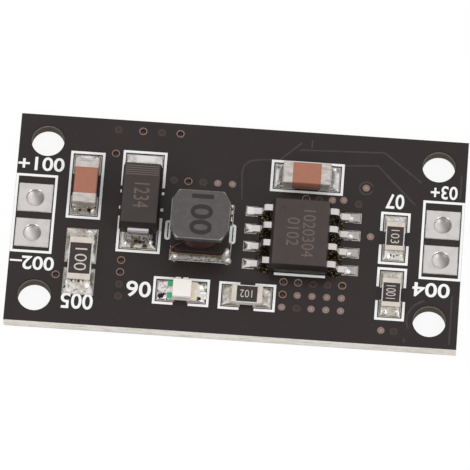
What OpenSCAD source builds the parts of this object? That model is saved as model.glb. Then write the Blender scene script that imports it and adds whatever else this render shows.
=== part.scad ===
// Power bank module: a small black two-sided circuit board that carries a charger chip,
// a drum coil, a diode, two ceramic capacitors, four chip resistors and a lamp.
// Origin at the middle of the board's bottom face, +X along the board towards the input pads,
// +Y towards the far long edge, +Z up from the board.

/* [Board] */
// Length of the board along X
board_l = 30; // [29.8:0.1:33]
// Width of the board along Y
board_w = 15; // [14.6:0.1:17]
// Thickness of the finished board, both masks included
board_t = 1; // [0.8:0.05:1.6]
// Thickness of each solder mask
mask_t = 0.03; // [0.02:0.005:0.04]
// Thickness of the tinned lands and of the wire pads' upper plates
land_t = 0.05; // [0.045:0.005:0.07]
// Gap between a land and the mask round it
mask_gap = 0.05; // [0.03:0.01:0.08]
// Thickness of the white ink
ink_t = 0.02; // [0.015:0.005:0.03]
// Width of a white line
ink_w = 0.17; // [0.13:0.01:0.2]
// Gap between a land and the white frame round it
frame_gap = 0.12; // [0.1:0.01:0.14]

/* [Mounting holes] */
// Diameter of the four mounting holes
mount_d = 2.2; // [1.6:0.1:2.3]
// Distance from a mounting hole's centre to both board edges
mount_inset = 1.9; // [1.7:0.05:2]
// Width of the bare ring that the mask leaves round a mounting hole
mount_ring = 0.08; // [0.04:0.01:0.12]

/* [Wire pads] */
// Length of a wire pad along X
pad_l = 2.2; // [2:0.05:2.25]
// Width of a wire pad along Y
pad_w = 1.96; // [1.8:0.02:2.1]
// Distance between the two pads of a pair
pad_pitch = 2.54; // [2.4:0.02:2.6]
// Distance from a pad's centre to the end of the board
pad_inset = 1.4; // [1.35:0.01:1.5]
// Diameter of the plated wire hole
wire_d = 1.1; // [0.8:0.05:1.2]
// Wall of the plated barrel
barrel_t = 0.06; // [0.05:0.01:0.1]
// Radius of the tinned rim round a wire hole
rim_r = 0.14; // [0.1:0.01:0.16]
// Depth of the hollow in the solder that fills a wire hole
dish_depth = 0.22; // [0.1:0.01:0.3]
// Reach of the pads' white frame past the pads, near side
pad_frame_near = 0.48; // [0.35:0.01:0.5]
// Reach of the pads' white frame past the pads, far side
pad_frame_far = 0.72; // [0.5:0.01:0.75]

/* [Vias] */
// Diameter of a via's ring
via_ring_d = 0.54; // [0.48:0.01:0.58]
// Diameter of an open via's hole
via_hole_d = 0.34; // [0.28:0.01:0.38]
// Plating in a via's hole
via_wall = 0.03; // [0.02:0.005:0.04]
// Diameter of the hole left in a via that the mask covers
via_covered_d = 0.24; // [0.2:0.01:0.28]
// Height of a plugged via's head above the mask
via_head_h = 0.05; // [0.03:0.01:0.07]

/* [Soldering] */
// Solder left between a land and the part on it
film_t = 0.03; // [0.02:0.005:0.05]

/* [Ceramic capacitors] */
// Length over the two terminals
cap_l = 3.2; // [3:0.05:3.3]
// Width
cap_w = 1.6; // [1.5:0.02:1.64]
// Height
cap_h = 1.2; // [0.8:0.05:1.6]
// Length of one terminal
cap_end_l = 0.66; // [0.5:0.02:0.8]
// Thickness of a terminal over the ceramic
cap_skin = 0.04; // [0.03:0.005:0.06]
// Rounding of a terminal's edges
cap_round = 0.12; // [0.1:0.01:0.16]
// Reach of a land past the capacitor's end
cap_toe = 0.55; // [0.45:0.01:0.58]
// Reach of a land past the capacitor's side
cap_side = 0.06; // [0.04:0.01:0.1]
// Height of the solder on a terminal's end
cap_solder_h = 0.85; // [0.5:0.05:1]

/* [Sense resistor] */
// Length over the two terminals
sense_l = 3.05; // [2.9:0.05:3.2]
// Width
sense_w = 1.55; // [1.45:0.01:1.65]
// Height of the ceramic with its terminals
sense_h = 0.55; // [0.45:0.01:0.65]
// Length of one terminal
sense_end_l = 0.42; // [0.35:0.01:0.5]
// Width of both lands
sense_land_w = 2; // [1.85:0.01:2.1]
// Reach of a land past the resistor's end
sense_toe = 0.82; // [0.6:0.01:0.85]
// Length of the far land
sense_land_far = 2.4; // [2:0.05:2.45]
// Length of the near land
sense_land_near = 1.84; // [1.5:0.02:1.9]

/* [Small resistors] */
// Length over the two terminals
res_l = 2.04; // [1.9:0.02:2.1]
// Width
res_w = 1.25; // [1.15:0.01:1.3]
// Height of the ceramic with its terminals
res_h = 0.48; // [0.4:0.01:0.6]
// Length of one terminal
res_end_l = 0.34; // [0.28:0.01:0.4]
// Reach of a land past the resistor's end
res_toe = 0.58; // [0.5:0.01:0.6]
// Reach of a land past the resistor's side
res_side = 0.07; // [0.04:0.01:0.08]
// Length of each land
res_land_l = 1.12; // [1:0.01:1.2]
// Gap in the white frame of a two-ended part
frame_break = 1; // [0.8:0.05:1.2]

/* [Resistor layers] */
// Thickness of a resistor's terminals over the ceramic
res_skin = 0.03; // [0.02:0.005:0.05]
// Thickness of the black coat on a resistor
coat_t = 0.03; // [0.02:0.005:0.05]
// Width of the bare ceramic beside the coat
coat_edge = 0.07; // [0.05:0.01:0.12]

/* [Lamp] */
// Length of the lamp's base
led_l = 2; // [1.9:0.02:2.1]
// Width of the lamp's base
led_w = 1.25; // [1.15:0.01:1.3]
// Thickness of the base
led_base_h = 0.3; // [0.25:0.01:0.4]
// Length of the moulded lens
led_lens_l = 1.32; // [1.2:0.02:1.36]
// Height of the lens above the base
led_lens_h = 0.5; // [0.35:0.01:0.6]
// Slope of the lens's two ends, as a setback at the top
led_lens_slope = 0.06; // [0.03:0.01:0.1]
// Radius of the round notch in each end
led_notch_r = 0.2; // [0.15:0.01:0.25]
// Thickness of the metal on the base
led_skin = 0.03; // [0.02:0.005:0.04]

/* [Diode] */
// Width of the moulded body
diode_w = 2.6; // [2.4:0.02:2.7]
// Height of the moulded body
diode_h = 1.85; // [1.7:0.05:2.1]
// Setback of the body's top and bottom faces from its parting line
diode_draft = 0.12; // [0.06:0.01:0.16]
// Length over the two leads along Y
diode_span = 5.02; // [4.95:0.01:5.3]
// Reach of a lead past the moulded body
diode_lead_out = 0.26; // [0.25:0.01:0.35]
// Width of a lead
diode_lead_w = 1.4; // [1.2:0.05:1.6]
// Thickness of a lead
diode_lead_t = 0.2; // [0.15:0.01:0.22]
// Length of the foot under the body
diode_foot_l = 1.1; // [0.8:0.05:1.4]
// Width of the diode's lands
diode_land_w = 2.36; // [2.1:0.02:2.4]
// Length of the diode's lands
diode_land_l = 2.3; // [2:0.05:2.4]
// Reach of a land past the diode's lead
diode_toe = 0.89; // [0.7:0.01:0.92]

/* [Coil] */
// Length of the coil's flanges along X
coil_l = 3.9; // [3.7:0.05:4]
// Width of the coil's flanges along Y
coil_w = 3.48; // [3.4:0.02:3.7]
// Height of the whole core
coil_h = 2.95; // [2.4:0.05:3.2]
// Thickness of the upper flange
coil_top_t = 0.5; // [0.4:0.05:0.7]
// Thickness of the lower flange
coil_base_t = 0.75; // [0.6:0.05:0.9]
// Cut of the flanges' corners along X
coil_cut_x = 0.45; // [0.3:0.05:0.55]
// Cut of the flanges' corners along Y
coil_cut_y = 0.72; // [0.6:0.02:0.9]
// Diameter of the core's post
coil_post_d = 1.9; // [1.6:0.05:2.2]
// Diameter of the wound wire
coil_wire_d = 0.24; // [0.2:0.01:0.28]
// Outer diameter of the winding
coil_wound_d = 3.2; // [2.8:0.05:3.3]
// Thickness of the metal on the lower flange
coil_skin = 0.06; // [0.04:0.01:0.08]
// Height of the metal on the lower flange's sides
coil_skin_h = 0.3; // [0.2:0.02:0.4]
// Width of one metal strip under the lower flange
coil_strip_w = 1.1; // [0.9:0.05:1.3]
// Reach of a land past the flange's side
coil_toe = 0.34; // [0.3:0.01:0.42]
// Length of the coil's lands along Y
coil_land_l = 1.42; // [1.2:0.02:1.5]
// Reach of the coil's lands past its ends along X
coil_side = 0.04; // [0.02:0.01:0.1]

/* [Charger chip] */
// Width of the moulded body along X, at its parting line
chip_w = 3.9; // [3.8:0.02:4]
// Length of the moulded body along Y, at its parting line
chip_l = 4.9; // [4.8:0.02:5]
// Height of the moulded body
chip_h = 1.42; // [1.3:0.02:1.5]
// Gap under the body
chip_lift = 0.13; // [0.1:0.01:0.2]
// Setback of the body's top and bottom faces from its parting line
chip_draft = 0.11; // [0.06:0.01:0.14]
// Cut along the top edge of the first row of leads
chip_bevel = 0.22; // [0.15:0.01:0.3]
// Distance between neighbouring leads
chip_pitch = 1.27; // [1.2:0.01:1.27]
// Distance over the two rows of leads
chip_span = 6.3; // [6.2:0.02:6.4]
// Width of a lead
chip_lead_w = 0.44; // [0.36:0.01:0.48]
// Thickness of a lead
chip_lead_t = 0.2; // [0.17:0.01:0.22]
// Flat length of a lead's foot
chip_foot_l = 0.4; // [0.3:0.01:0.45]
// Inner radius of a lead's two bends
chip_bend_r = 0.12; // [0.1:0.01:0.14]
// Slope of a lead between its two bends, in degrees
chip_lead_slope = 80; // [76:1:84]
// Width of a lead's land
chip_land_w = 0.65; // [0.6:0.01:0.75]
// Reach of a land past a lead's tip
chip_toe = 0.66; // [0.5:0.01:0.7]
// Reach of a land behind a lead's foot
chip_heel = 0.12; // [0.05:0.01:0.3]

/* [Places of the parts] */
// Distance from the board's left end to the left column, with the input capacitor
left_in = 4.67; // [4.6:0.01:4.8]
// Middle of the input capacitor's lands along Y
input_cap_y = 2.54; // [2.45:0.01:2.65]
// Middle of the sense resistor along Y
sense_y = -3; // [-3.05:0.01:-2.95]
// Middle of the diode's lands along X
diode_x = -6.52; // [-6.6:0.01:-6.45]
// Middle of the diode's lands along Y
diode_y = 1.6; // [1.5:0.01:1.7]
// Middle of the coil along X
coil_x = -2.46; // [-2.5:0.01:-2.4]
// Middle of the coil along Y
coil_y = -0.32; // [-0.4:0.01:-0.25]
// Middle of the near row, with the lamp and its resistor
near_y = -4.72; // [-4.8:0.01:-4.65]
// Middle of the lamp's lands along X
led_x = -3.42; // [-3.5:0.01:-3.35]
// Middle of the lamp's resistor along X
led_res_x = 0.96; // [0.9:0.01:1]
// Middle of the charger chip along X
chip_x = 4.32; // [4.28:0.01:4.36]
// Middle of the charger chip along Y
chip_y = -0.43; // [-0.48:0.01:-0.4]
// Middle of the output capacitor's lands along X
output_cap_x = 4.38; // [4.3:0.01:4.45]
// Middle of the output capacitor's lands along Y
output_cap_y = 4.17; // [4.12:0.01:4.25]
// Distance from the board's right end to the right column, with the two setting resistors
right_in = 4.56; // [4.5:0.01:4.6]
// Middle of the upper setting resistor along Y
upper_res_y = 0.18; // [0.15:0.01:0.3]
// Middle of the lower setting resistor along Y
lower_res_y = -3.84; // [-3.95:0.01:-3.8]

/* [Hidden] */

$fn = 64;
// Levels above the board's bottom face
laminate_top = board_t - mask_t;
land_top = laminate_top + land_t;
seat_z = land_top + film_t;
// Middles of the two columns, and the moulded length of the diode
left_x = left_in - board_l / 2;
right_x = board_l / 2 - right_in;
diode_l = diode_span - 2 * diode_lead_out;
// Margin by which a cutter runs past what it cuts
past = 1;

// Places of the lands, turns, and how far each soldered part sits off the middle of its lands
INPUT_CAP = [[left_x, input_cap_y], 90, [0.03, -0.16]];
OUTPUT_CAP = [[output_cap_x, output_cap_y], 0, [-0.02, -0.17]];
SENSE = [[left_x + 0.07, sense_y], 90, [0, 0]];
LED_RES = [[led_res_x, near_y], 0, [0, 0]];
UPPER_RES = [[right_x, upper_res_y], 90, [0.04, -0.03]];
LOWER_RES = [[right_x, lower_res_y], 90, [0.04, -0.07]];
LED = [[led_x, near_y + 0.04], 0, [0.07, -0.03]];
DIODE = [[diode_x, diode_y], 90, [-0.03, -0.24]];
COIL = [[coil_x + 0.1, coil_y], 90, [-0.1, 0]];
CHIP = [[chip_x, chip_y], 0, [-0.14, -0.06]];

// Spans and sizes of the lands: distance over both, length and width of one
cap_span = cap_l + 2 * cap_toe;
cap_land_l = cap_toe + cap_end_l + 0.1;
cap_land_w = cap_w + 2 * cap_side;
sense_span = sense_l + 2 * sense_toe;
res_span = res_l + 2 * res_toe;
res_land_w = res_w + 2 * res_side;
led_span = led_l + 2 * res_toe;
led_land_w = led_w + 2 * res_side;
diode_land_span = diode_span + 2 * diode_toe;
coil_span = coil_w + 2 * coil_toe;
coil_land_w = coil_l + 2 * coil_side;

// Reach of the solder's hollow heel behind a small part's end and behind the coil's side
res_heel = 0.36;
coil_heel = 0.46;

// Mounting holes and wire pads
MOUNTS = [for (sx = [-1, 1], sy = [-1, 1])
    [sx * (board_l / 2 - mount_inset), sy * (board_w / 2 - mount_inset)]];
pad_row_y = 0.13;
pad_x = board_l / 2 - pad_inset;
BATTERY_PLUS = [-pad_x, pad_row_y + pad_pitch / 2];
BATTERY_MINUS = [-pad_x, pad_row_y - pad_pitch / 2];
INPUT_PLUS = [pad_x, pad_row_y + pad_pitch / 2];
INPUT_MINUS = [pad_x, pad_row_y - pad_pitch / 2];
WIRES = [BATTERY_PLUS, BATTERY_MINUS, INPUT_PLUS, INPUT_MINUS];

// Vias: a block of five by three before the chip, a row behind the coil, a column before the
// diode, a row along the far edge, and single ones. Open ones show a ring, covered ones lie
// under the mask with a small hole left in it, and plugged ones are filled
block_at = [chip_x - 1.02, chip_y - 3.04];
block_step = [0.975, -0.91];
function block_vias(cells) = [for (c = cells)
    [block_at.x + c.x * block_step.x, block_at.y + c.y * block_step.y]];
row_y = coil_y + coil_w / 2 + 1.9;
row_step = 0.98;
function row_vias(cells) = [for (i = cells) [coil_x - 2.04 + i * row_step, row_y]];
column_step = 0.86;
function column_vias(cells) = [for (j = cells) [diode_x - 1.03, diode_y - 4.3 - j * column_step]];
far_y = board_w / 2 - 0.75;
near_via_y = 1.02 - board_w / 2;
function far_vias(reaches) = [for (reach = reaches) [diode_x + reach, far_y]];
OPEN_VIAS = concat(far_vias([-0.28, 2.22]), row_vias([1]), column_vias([0, 1]),
    block_vias([[0, 0], [1, 0], [4, 0], [0, 1]]),
    [[diode_x - 1.98, diode_y + 3.4], [left_x - 1.47, sense_y - 1.05],
    [chip_x + 0.08, chip_y + 3.07]]);
COVERED_VIAS = concat(far_vias([-1.93, 0.97]), row_vias([0, 2]), column_vias([2, 3]),
    block_vias([[2, 0], [3, 0], [1, 2]]),
    [[chip_x + 0.93, chip_y + 3.13], [chip_x + 3.58, chip_y + 2.93],
    [right_x + 0.36, near_via_y]]);
PLUGGED_VIAS = concat(row_vias([3, 4]),
    block_vias([[1, 1], [2, 1], [3, 1], [4, 1], [0, 2], [2, 2], [3, 2], [4, 2]]),
    [[chip_x + 1.83, chip_y + 3.08], [chip_x + 2.58, chip_y + 3.13],
    [chip_x + 4.03, chip_y + 4.13], [chip_x + 4.53, chip_y + 0.63],
    [right_x - 0.49, near_via_y]]);

// Board

module drill(at, d) {
    translate([at.x, at.y, -past]) cylinder(d = d, h = board_t + 2 * past);
}

module sheet(z, t) {
    translate([-board_l / 2, -board_w / 2, z]) cube([board_l, board_w, t]);
}

module slab(l, w, t) {
    translate([-l / 2, -w / 2, 0]) cube([l, w, t]);
}

module laminate_board() {
    color("wheat") difference() {
        sheet(mask_t, board_t - 2 * mask_t);
        for (p = MOUNTS) drill(p, mount_d);
        for (p = WIRES) drill(p, wire_d + 2 * barrel_t);
        for (p = OPEN_VIAS) drill(p, via_hole_d + 2 * via_wall);
        for (p = COVERED_VIAS) drill(p, via_covered_d + 2 * via_wall);
        for (p = PLUGGED_VIAS) drill(p, via_hole_d);
    }
}

// Mask with its openings for holes, wire pads and vias
module mask(z) {
    difference() {
        sheet(z, mask_t);
        for (p = MOUNTS) drill(p, mount_d + 2 * mount_ring);
        for (p = WIRES) translate([p.x, p.y, -past])
            slab(pad_l + 2 * mask_gap, pad_w + 2 * mask_gap, board_t + 2 * past);
        for (p = OPEN_VIAS) drill(p, via_ring_d);
        for (p = COVERED_VIAS) drill(p, via_covered_d);
        for (p = PLUGGED_VIAS) drill(p, via_ring_d);
    }
}

module solder_mask_top() {
    color([0.15, 0.14, 0.13]) difference() {
        mask(laminate_top);
        translate([0, 0, laminate_top - past]) land_shapes(mask_gap, mask_t + 2 * past);
    }
}

module solder_mask_bottom() {
    color([0.15, 0.14, 0.13]) mask(0);
}

// Wire pad: upper plate, barrel through the board and lower plate in one tinned piece
module wire_pad(at) {
    color("gainsboro") translate([at.x, at.y, 0]) difference() {
        union() {
            translate([0, 0, laminate_top]) slab(pad_l, pad_w, land_t);
            cylinder(d = wire_d + 2 * barrel_t, h = land_top);
            slab(pad_l, pad_w, mask_t);
        }
        translate([0, 0, -past]) cylinder(d = wire_d, h = board_t + 2 * past);
        translate([0, 0, land_top - rim_r]) wire_rim();
    }
}

// Cutter that leaves a round rim at the mouth of a wire hole
module wire_rim() {
    rotate_extrude() difference() {
        square([wire_d / 2 + rim_r, 2 * rim_r]);
        translate([wire_d / 2 + rim_r, 0]) circle(r = rim_r);
    }
}

module battery_plus_pad() { wire_pad(BATTERY_PLUS); }
module battery_minus_pad() { wire_pad(BATTERY_MINUS); }
module input_plus_pad() { wire_pad(INPUT_PLUS); }
module input_minus_pad() { wire_pad(INPUT_MINUS); }

// Solder that fills the four wire holes up to the rims, with a hollow on top
module wire_hole_solder() {
    hollow_r = (wire_d * wire_d / 4 + dish_depth * dish_depth) / (2 * dish_depth);
    fill_h = land_top - rim_r;
    color("lightgray") for (p = WIRES) translate([p.x, p.y, 0]) rotate_extrude() difference() {
        square([wire_d / 2, fill_h]);
        translate([0, fill_h - dish_depth + hollow_r]) circle(r = hollow_r, $fn = 128);
    }
}

module open_vias() {
    color("sienna") for (p = OPEN_VIAS) translate([p.x, p.y, 0]) difference() {
        union() {
            cylinder(d = via_ring_d, h = mask_t);
            cylinder(d = via_hole_d + 2 * via_wall, h = board_t);
            translate([0, 0, laminate_top]) cylinder(d = via_ring_d, h = mask_t);
        }
        translate([0, 0, -past]) cylinder(d = via_hole_d, h = board_t + 2 * past);
    }
}

// Covered via: only its plated barrel, between the two masks
module covered_vias() {
    color("sienna") for (p = COVERED_VIAS) translate([p.x, p.y, mask_t]) difference() {
        cylinder(d = via_covered_d + 2 * via_wall, h = board_t - 2 * mask_t);
        translate([0, 0, -past]) cylinder(d = via_covered_d, h = board_t + 2 * past);
    }
}

// Plugged via: a filled hole with a low round head on the upper side
module plugged_vias() {
    head_r = (via_ring_d * via_ring_d / 4 + via_head_h * via_head_h) / (2 * via_head_h);
    color("rosybrown") for (p = PLUGGED_VIAS) translate([p.x, p.y, 0]) {
        cylinder(d = via_ring_d, h = mask_t);
        cylinder(d = via_hole_d, h = board_t);
        translate([0, 0, laminate_top]) cylinder(d = via_ring_d, h = mask_t);
        translate([0, 0, board_t]) rotate_extrude() intersection() {
            translate([0, via_head_h - head_r]) circle(r = head_r, $fn = 256);
            square([via_ring_d / 2, via_head_h]);
        }
    }
}

// Lands

// Stands a part's own children on the board: X along the part, zero at the level z
module placed(part, z) {
    translate([part[0].x, part[0].y, z]) rotate(part[1]) children();
}

// The same, moved to where the soldered part sits
module seated(part, z) {
    translate([part[0].x + part[2].x, part[0].y + part[2].y, z]) rotate(part[1]) children();
}

// Middle of the lands seen from the seated part, in the part's own axes
function lands_from_part(part) = [
    -part[2].x * cos(part[1]) - part[2].y * sin(part[1]),
    part[2].x * sin(part[1]) - part[2].y * cos(part[1])];

module pair_of_lands(span, l, w, grow, t) {
    for (side = [-1, 1]) translate([side * (span - l) / 2, 0, 0]) slab(l + 2 * grow, w + 2 * grow, t);
}

module sense_lands(grow, t) {
    translate([(sense_span - sense_land_far) / 2, 0, 0])
        slab(sense_land_far + 2 * grow, sense_land_w + 2 * grow, t);
    translate([(sense_land_near - sense_span) / 2, 0, 0])
        slab(sense_land_near + 2 * grow, sense_land_w + 2 * grow, t);
}

module chip_lands(grow, t) {
    for (side = [-1, 1], i = [0 : 3])
        translate([side * (chip_land_out + chip_land_in) / 2, (i - 1.5) * chip_pitch, 0])
            slab(chip_land_out - chip_land_in + 2 * grow, chip_land_w + 2 * grow, t);
}

// All component lands, grown on every side, from their own zero level up
module land_shapes(grow, t) {
    placed(INPUT_CAP, 0) pair_of_lands(cap_span, cap_land_l, cap_land_w, grow, t);
    placed(OUTPUT_CAP, 0) pair_of_lands(cap_span, cap_land_l, cap_land_w, grow, t);
    placed(SENSE, 0) sense_lands(grow, t);
    placed(LED_RES, 0) pair_of_lands(res_span, res_land_l, res_land_w, grow, t);
    placed(UPPER_RES, 0) pair_of_lands(res_span, res_land_l, res_land_w, grow, t);
    placed(LOWER_RES, 0) pair_of_lands(res_span, res_land_l, res_land_w, grow, t);
    placed(LED, 0) pair_of_lands(led_span, res_land_l, led_land_w, grow, t);
    placed(DIODE, 0) pair_of_lands(diode_land_span, diode_land_l, diode_land_w, grow, t);
    placed(COIL, 0) pair_of_lands(coil_span, coil_land_l, coil_land_w, grow, t);
    placed(CHIP, 0) chip_lands(grow, t);
}

module component_lands() {
    color("lightgray") translate([0, 0, laminate_top]) land_shapes(0, land_t);
}

// White ink

module ink_frame(l, w, gap) {
    linear_extrude(ink_t) difference() {
        square([l, w], center = true);
        square([l - 2 * ink_w, w - 2 * ink_w], center = true);
        if (gap > 0) square([gap, 2 * w], center = true);
    }
}

// Frame round a pair of lands
module land_frame(part, span, w, gap) {
    margin = 2 * (frame_gap + ink_w);
    placed(part, board_t) ink_frame(span + margin, w + margin, gap);
}

// Frame round a pair of wire pads
module pad_frame(x) {
    l = pad_l + 2 * (frame_gap + ink_w);
    w = pad_pitch + pad_w + pad_frame_near + pad_frame_far;
    translate([x, pad_row_y + (pad_frame_far - pad_frame_near) / 2, board_t]) ink_frame(l, w, 0);
}

// Two dots where a printed line runs out from under the diode, on both sides of it
module diode_dots() {
    dot_l = 0.2;
    dot_pitch = 1.18;
    placed(DIODE, board_t) for (sx = [-1, 1], sy = [-1, 1])
        translate([sx * dot_pitch / 2 + 0.1, sy * (diode_land_w / 2 + frame_gap + ink_w / 2), 0])
            slab(dot_l, ink_w, ink_t);
}

// Two dots in the gap of the lamp's frame
module led_dots() {
    dot_l = 0.36;
    dot_pitch = 0.52;
    placed(LED, board_t) for (side = [-1, 1])
        translate([side * dot_pitch / 2, led_land_w / 2 + frame_gap + ink_w * 0.6, 0])
            slab(dot_l, ink_w * 1.4, ink_t);
}

// Lines at the chip's two ends
module chip_lines() {
    line_l = chip_w - 0.5;
    placed(CHIP, board_t) for (side = [-1, 1])
        translate([0, side * (chip_l / 2 + 0.05), 0]) slab(line_l, ink_w, ink_t);
}

// Plane outline of a slot, as one closed white line
module ink_loop(l, w) {
    linear_extrude(ink_t) difference() {
        slot(l, w);
        slot(l - 2 * ink_w, w - 2 * ink_w);
    }
}

module slot(l, w) {
    square([l - w, w], center = true);
    for (side = [-1, 1]) translate([side * (l - w) / 2, 0]) circle(d = w, $fn = 32);
}

// Loops on both sides of the coil, clear of its lands
module coil_loops() {
    loop_l = 1.42;
    loop_w = 0.42;
    loop_y = 0.02;
    loop_out = coil_l / 2 + 0.21;
    difference() {
        for (side = [-1, 1])
            translate([coil_x + side * loop_out, coil_y + loop_y, board_t]) rotate(90)
                ink_loop(loop_l, loop_w);
        placed(COIL, board_t - past)
            pair_of_lands(coil_span, coil_land_l, coil_land_w, mask_gap, ink_t + 2 * past);
    }
}

module silkscreen() {
    color("white") {
        for (side = [-1, 1]) pad_frame(side * pad_x);
        land_frame(INPUT_CAP, cap_span, cap_land_w, 0);
        land_frame(OUTPUT_CAP, cap_span, cap_land_w, 0);
        land_frame(LED_RES, res_span, res_land_w, frame_break);
        land_frame(UPPER_RES, res_span, res_land_w, frame_break);
        land_frame(LOWER_RES, res_span, res_land_w, frame_break);
        land_frame(LED, led_span, led_land_w, frame_break);
        land_frame(DIODE, diode_land_span, diode_land_w, 2.2 * frame_break);
        diode_dots();
        led_dots();
        chip_lines();
        coil_loops();
    }
}

// Solder

// Plane web under a hollow arc: l along the land, h up the part, both from the corner.
// The arc stops a hair short of both ends, and a web too short for that is left out.
module web(l, h) {
    hair = 0.005;
    run = l - hair;
    climb = h - hair;
    if (run > hair) {
        c = sqrt(run * run + climb * climb);
        reach = 1.04 * c * max(run / climb, climb / run) / 2;
        centre = [run / 2 + climb / c * reach, climb / 2 + run / c * reach];
        difference() {
            square([l, h]);
            translate(centre) circle(r = sqrt(c * c / 4 + reach * reach), $fn = 128);
        }
    }
}

// Solder at the +X end of a part: on the land from x = inner to x = outer and from y = low to
// y = high, climbing by h against the part's end at x = face and a little less against its
// sides at y = half_w and -half_w, and falling to the film at the heel
module joint(inner, face, outer, low, high, half_w, h, heel) {
    rise = h - film_t;
    side_rise = 0.9 * rise;
    translate([inner, low, 0]) cube([outer - inner, high - low, film_t]);
    translate([0, 0, film_t]) intersection() {
        rotate([90, 0, 0]) translate([0, 0, -high]) linear_extrude(high - low) union() {
            translate([face, 0]) web(outer - face, rise);
            translate([inner + heel, 0]) square([face - inner - heel, rise]);
            if (heel > 0) translate([inner + heel, 0]) mirror([1, 0]) web(heel, rise);
        }
        rotate([90, 0, 90]) translate([0, 0, inner]) linear_extrude(outer - inner) union() {
            translate([-half_w, 0]) square([2 * half_w, rise]);
            translate([half_w, 0]) web(high - half_w, side_rise);
            translate([-half_w, 0]) mirror([1, 0]) web(-half_w - low, side_rise);
        }
    }
}

// Solder at both ends of a two-ended part whose lands' middle lies at off
module two_joints(off, span, land_l, land_w, part_l, part_w, h, heel) {
    for (side = [1, -1]) mirror([side < 0 ? 1 : 0, 0, 0])
        joint(span / 2 + side * off.x - land_l, part_l / 2, span / 2 + side * off.x,
            off.y - land_w / 2, off.y + land_w / 2, part_w / 2, h, heel);
}

// Ceramic capacitors

module rounded_plan(l, w, r) {
    square([l - 2 * r, w], center = true);
    square([l, w - 2 * r], center = true);
    for (sx = [-1, 1], sy = [-1, 1])
        translate([sx * (l / 2 - r), sy * (w / 2 - r)]) circle(r = r, $fn = 32);
}

// Block with every edge rounded, its middle at the origin
module rounded_block(l, w, h, r) {
    intersection() {
        translate([0, 0, -h / 2]) linear_extrude(h) rounded_plan(l, w, r);
        rotate([90, 0, 0]) translate([0, 0, -w / 2]) linear_extrude(w) rounded_plan(l, h, r);
        rotate([90, 0, 90]) translate([0, 0, -l / 2]) linear_extrude(l) rounded_plan(w, h, r);
    }
}

module cap_outline() {
    translate([0, 0, cap_h / 2]) rounded_block(cap_l, cap_w, cap_h, cap_round);
}

module cap_ceramic() {
    translate([0, 0, cap_h / 2])
        rounded_block(cap_l - 2 * cap_skin, cap_w - 2 * cap_skin, cap_h - 2 * cap_skin,
            cap_round - cap_skin);
}

module cap_body(part) {
    color([0.67, 0.45, 0.37]) seated(part, seat_z) cap_ceramic();
}

module cap_terminals(part) {
    color("silver") seated(part, seat_z) difference() {
        cap_outline();
        cap_ceramic();
        slab(cap_l - 2 * cap_end_l, 2 * cap_w, 2 * cap_h);
    }
}

module cap_solder(part) {
    color("lightgray") seated(part, land_top) difference() {
        two_joints(lands_from_part(part), cap_span, cap_land_l, cap_land_w, cap_l, cap_w,
            cap_solder_h, 0);
        translate([0, 0, film_t]) cap_outline();
        translate([0, 0, film_t]) slab(cap_l - 2 * cap_end_l, 2 * cap_w, cap_h);
    }
}

module input_cap_body() { cap_body(INPUT_CAP); }
module input_cap_terminals() { cap_terminals(INPUT_CAP); }
module input_cap_solder() { cap_solder(INPUT_CAP); }
module output_cap_body() { cap_body(OUTPUT_CAP); }
module output_cap_terminals() { cap_terminals(OUTPUT_CAP); }
module output_cap_solder() { cap_solder(OUTPUT_CAP); }

// Chip resistors: a ceramic plate, a black coat on it and a terminal folded over each end

module resistor_base(part, l, w, h) {
    color("antiquewhite") seated(part, seat_z + res_skin)
        slab(l - 2 * res_skin, w, h - 2 * res_skin);
}

module resistor_coat(part, l, w, h, end_l) {
    color([0.12, 0.11, 0.1]) seated(part, seat_z + h - res_skin)
        slab(l - 2 * end_l, w - 2 * coat_edge, coat_t);
}

module resistor_terminals(part, l, w, h, end_l) {
    color("silver") seated(part, seat_z) difference() {
        slab(l, w, h);
        translate([0, 0, res_skin]) slab(l - 2 * res_skin, 2 * w, h - 2 * res_skin);
        translate([0, 0, -past]) slab(l - 2 * end_l, 2 * w, h + 2 * past);
    }
}

module resistor_solder(part, span, land_l, land_w, l, w, h, end_l) {
    color("lightgray") seated(part, land_top) difference() {
        two_joints(lands_from_part(part), span, land_l, land_w, l, w, 0.75 * h, res_heel);
        translate([0, 0, film_t]) slab(l, w, h);
    }
}

module sense_resistor_base() { resistor_base(SENSE, sense_l, sense_w, sense_h); }
module sense_resistor_coat() { resistor_coat(SENSE, sense_l, sense_w, sense_h, sense_end_l); }
module sense_resistor_terminals() {
    resistor_terminals(SENSE, sense_l, sense_w, sense_h, sense_end_l);
}
module sense_resistor_solder() {
    heel_far = sense_land_far - sense_toe - sense_end_l - 0.3;
    heel_near = sense_land_near - sense_toe - sense_end_l - 0.15;
    color("lightgray") seated(SENSE, land_top) difference() {
        union() {
            joint(sense_span / 2 - sense_land_far, sense_l / 2, sense_span / 2,
                -sense_land_w / 2, sense_land_w / 2, sense_w / 2, 0.8 * sense_h, heel_far);
            mirror([1, 0, 0])
                joint(sense_span / 2 - sense_land_near, sense_l / 2, sense_span / 2,
                    -sense_land_w / 2, sense_land_w / 2, sense_w / 2, 0.8 * sense_h, heel_near);
        }
        translate([0, 0, film_t]) slab(sense_l, sense_w, sense_h);
    }
}

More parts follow.
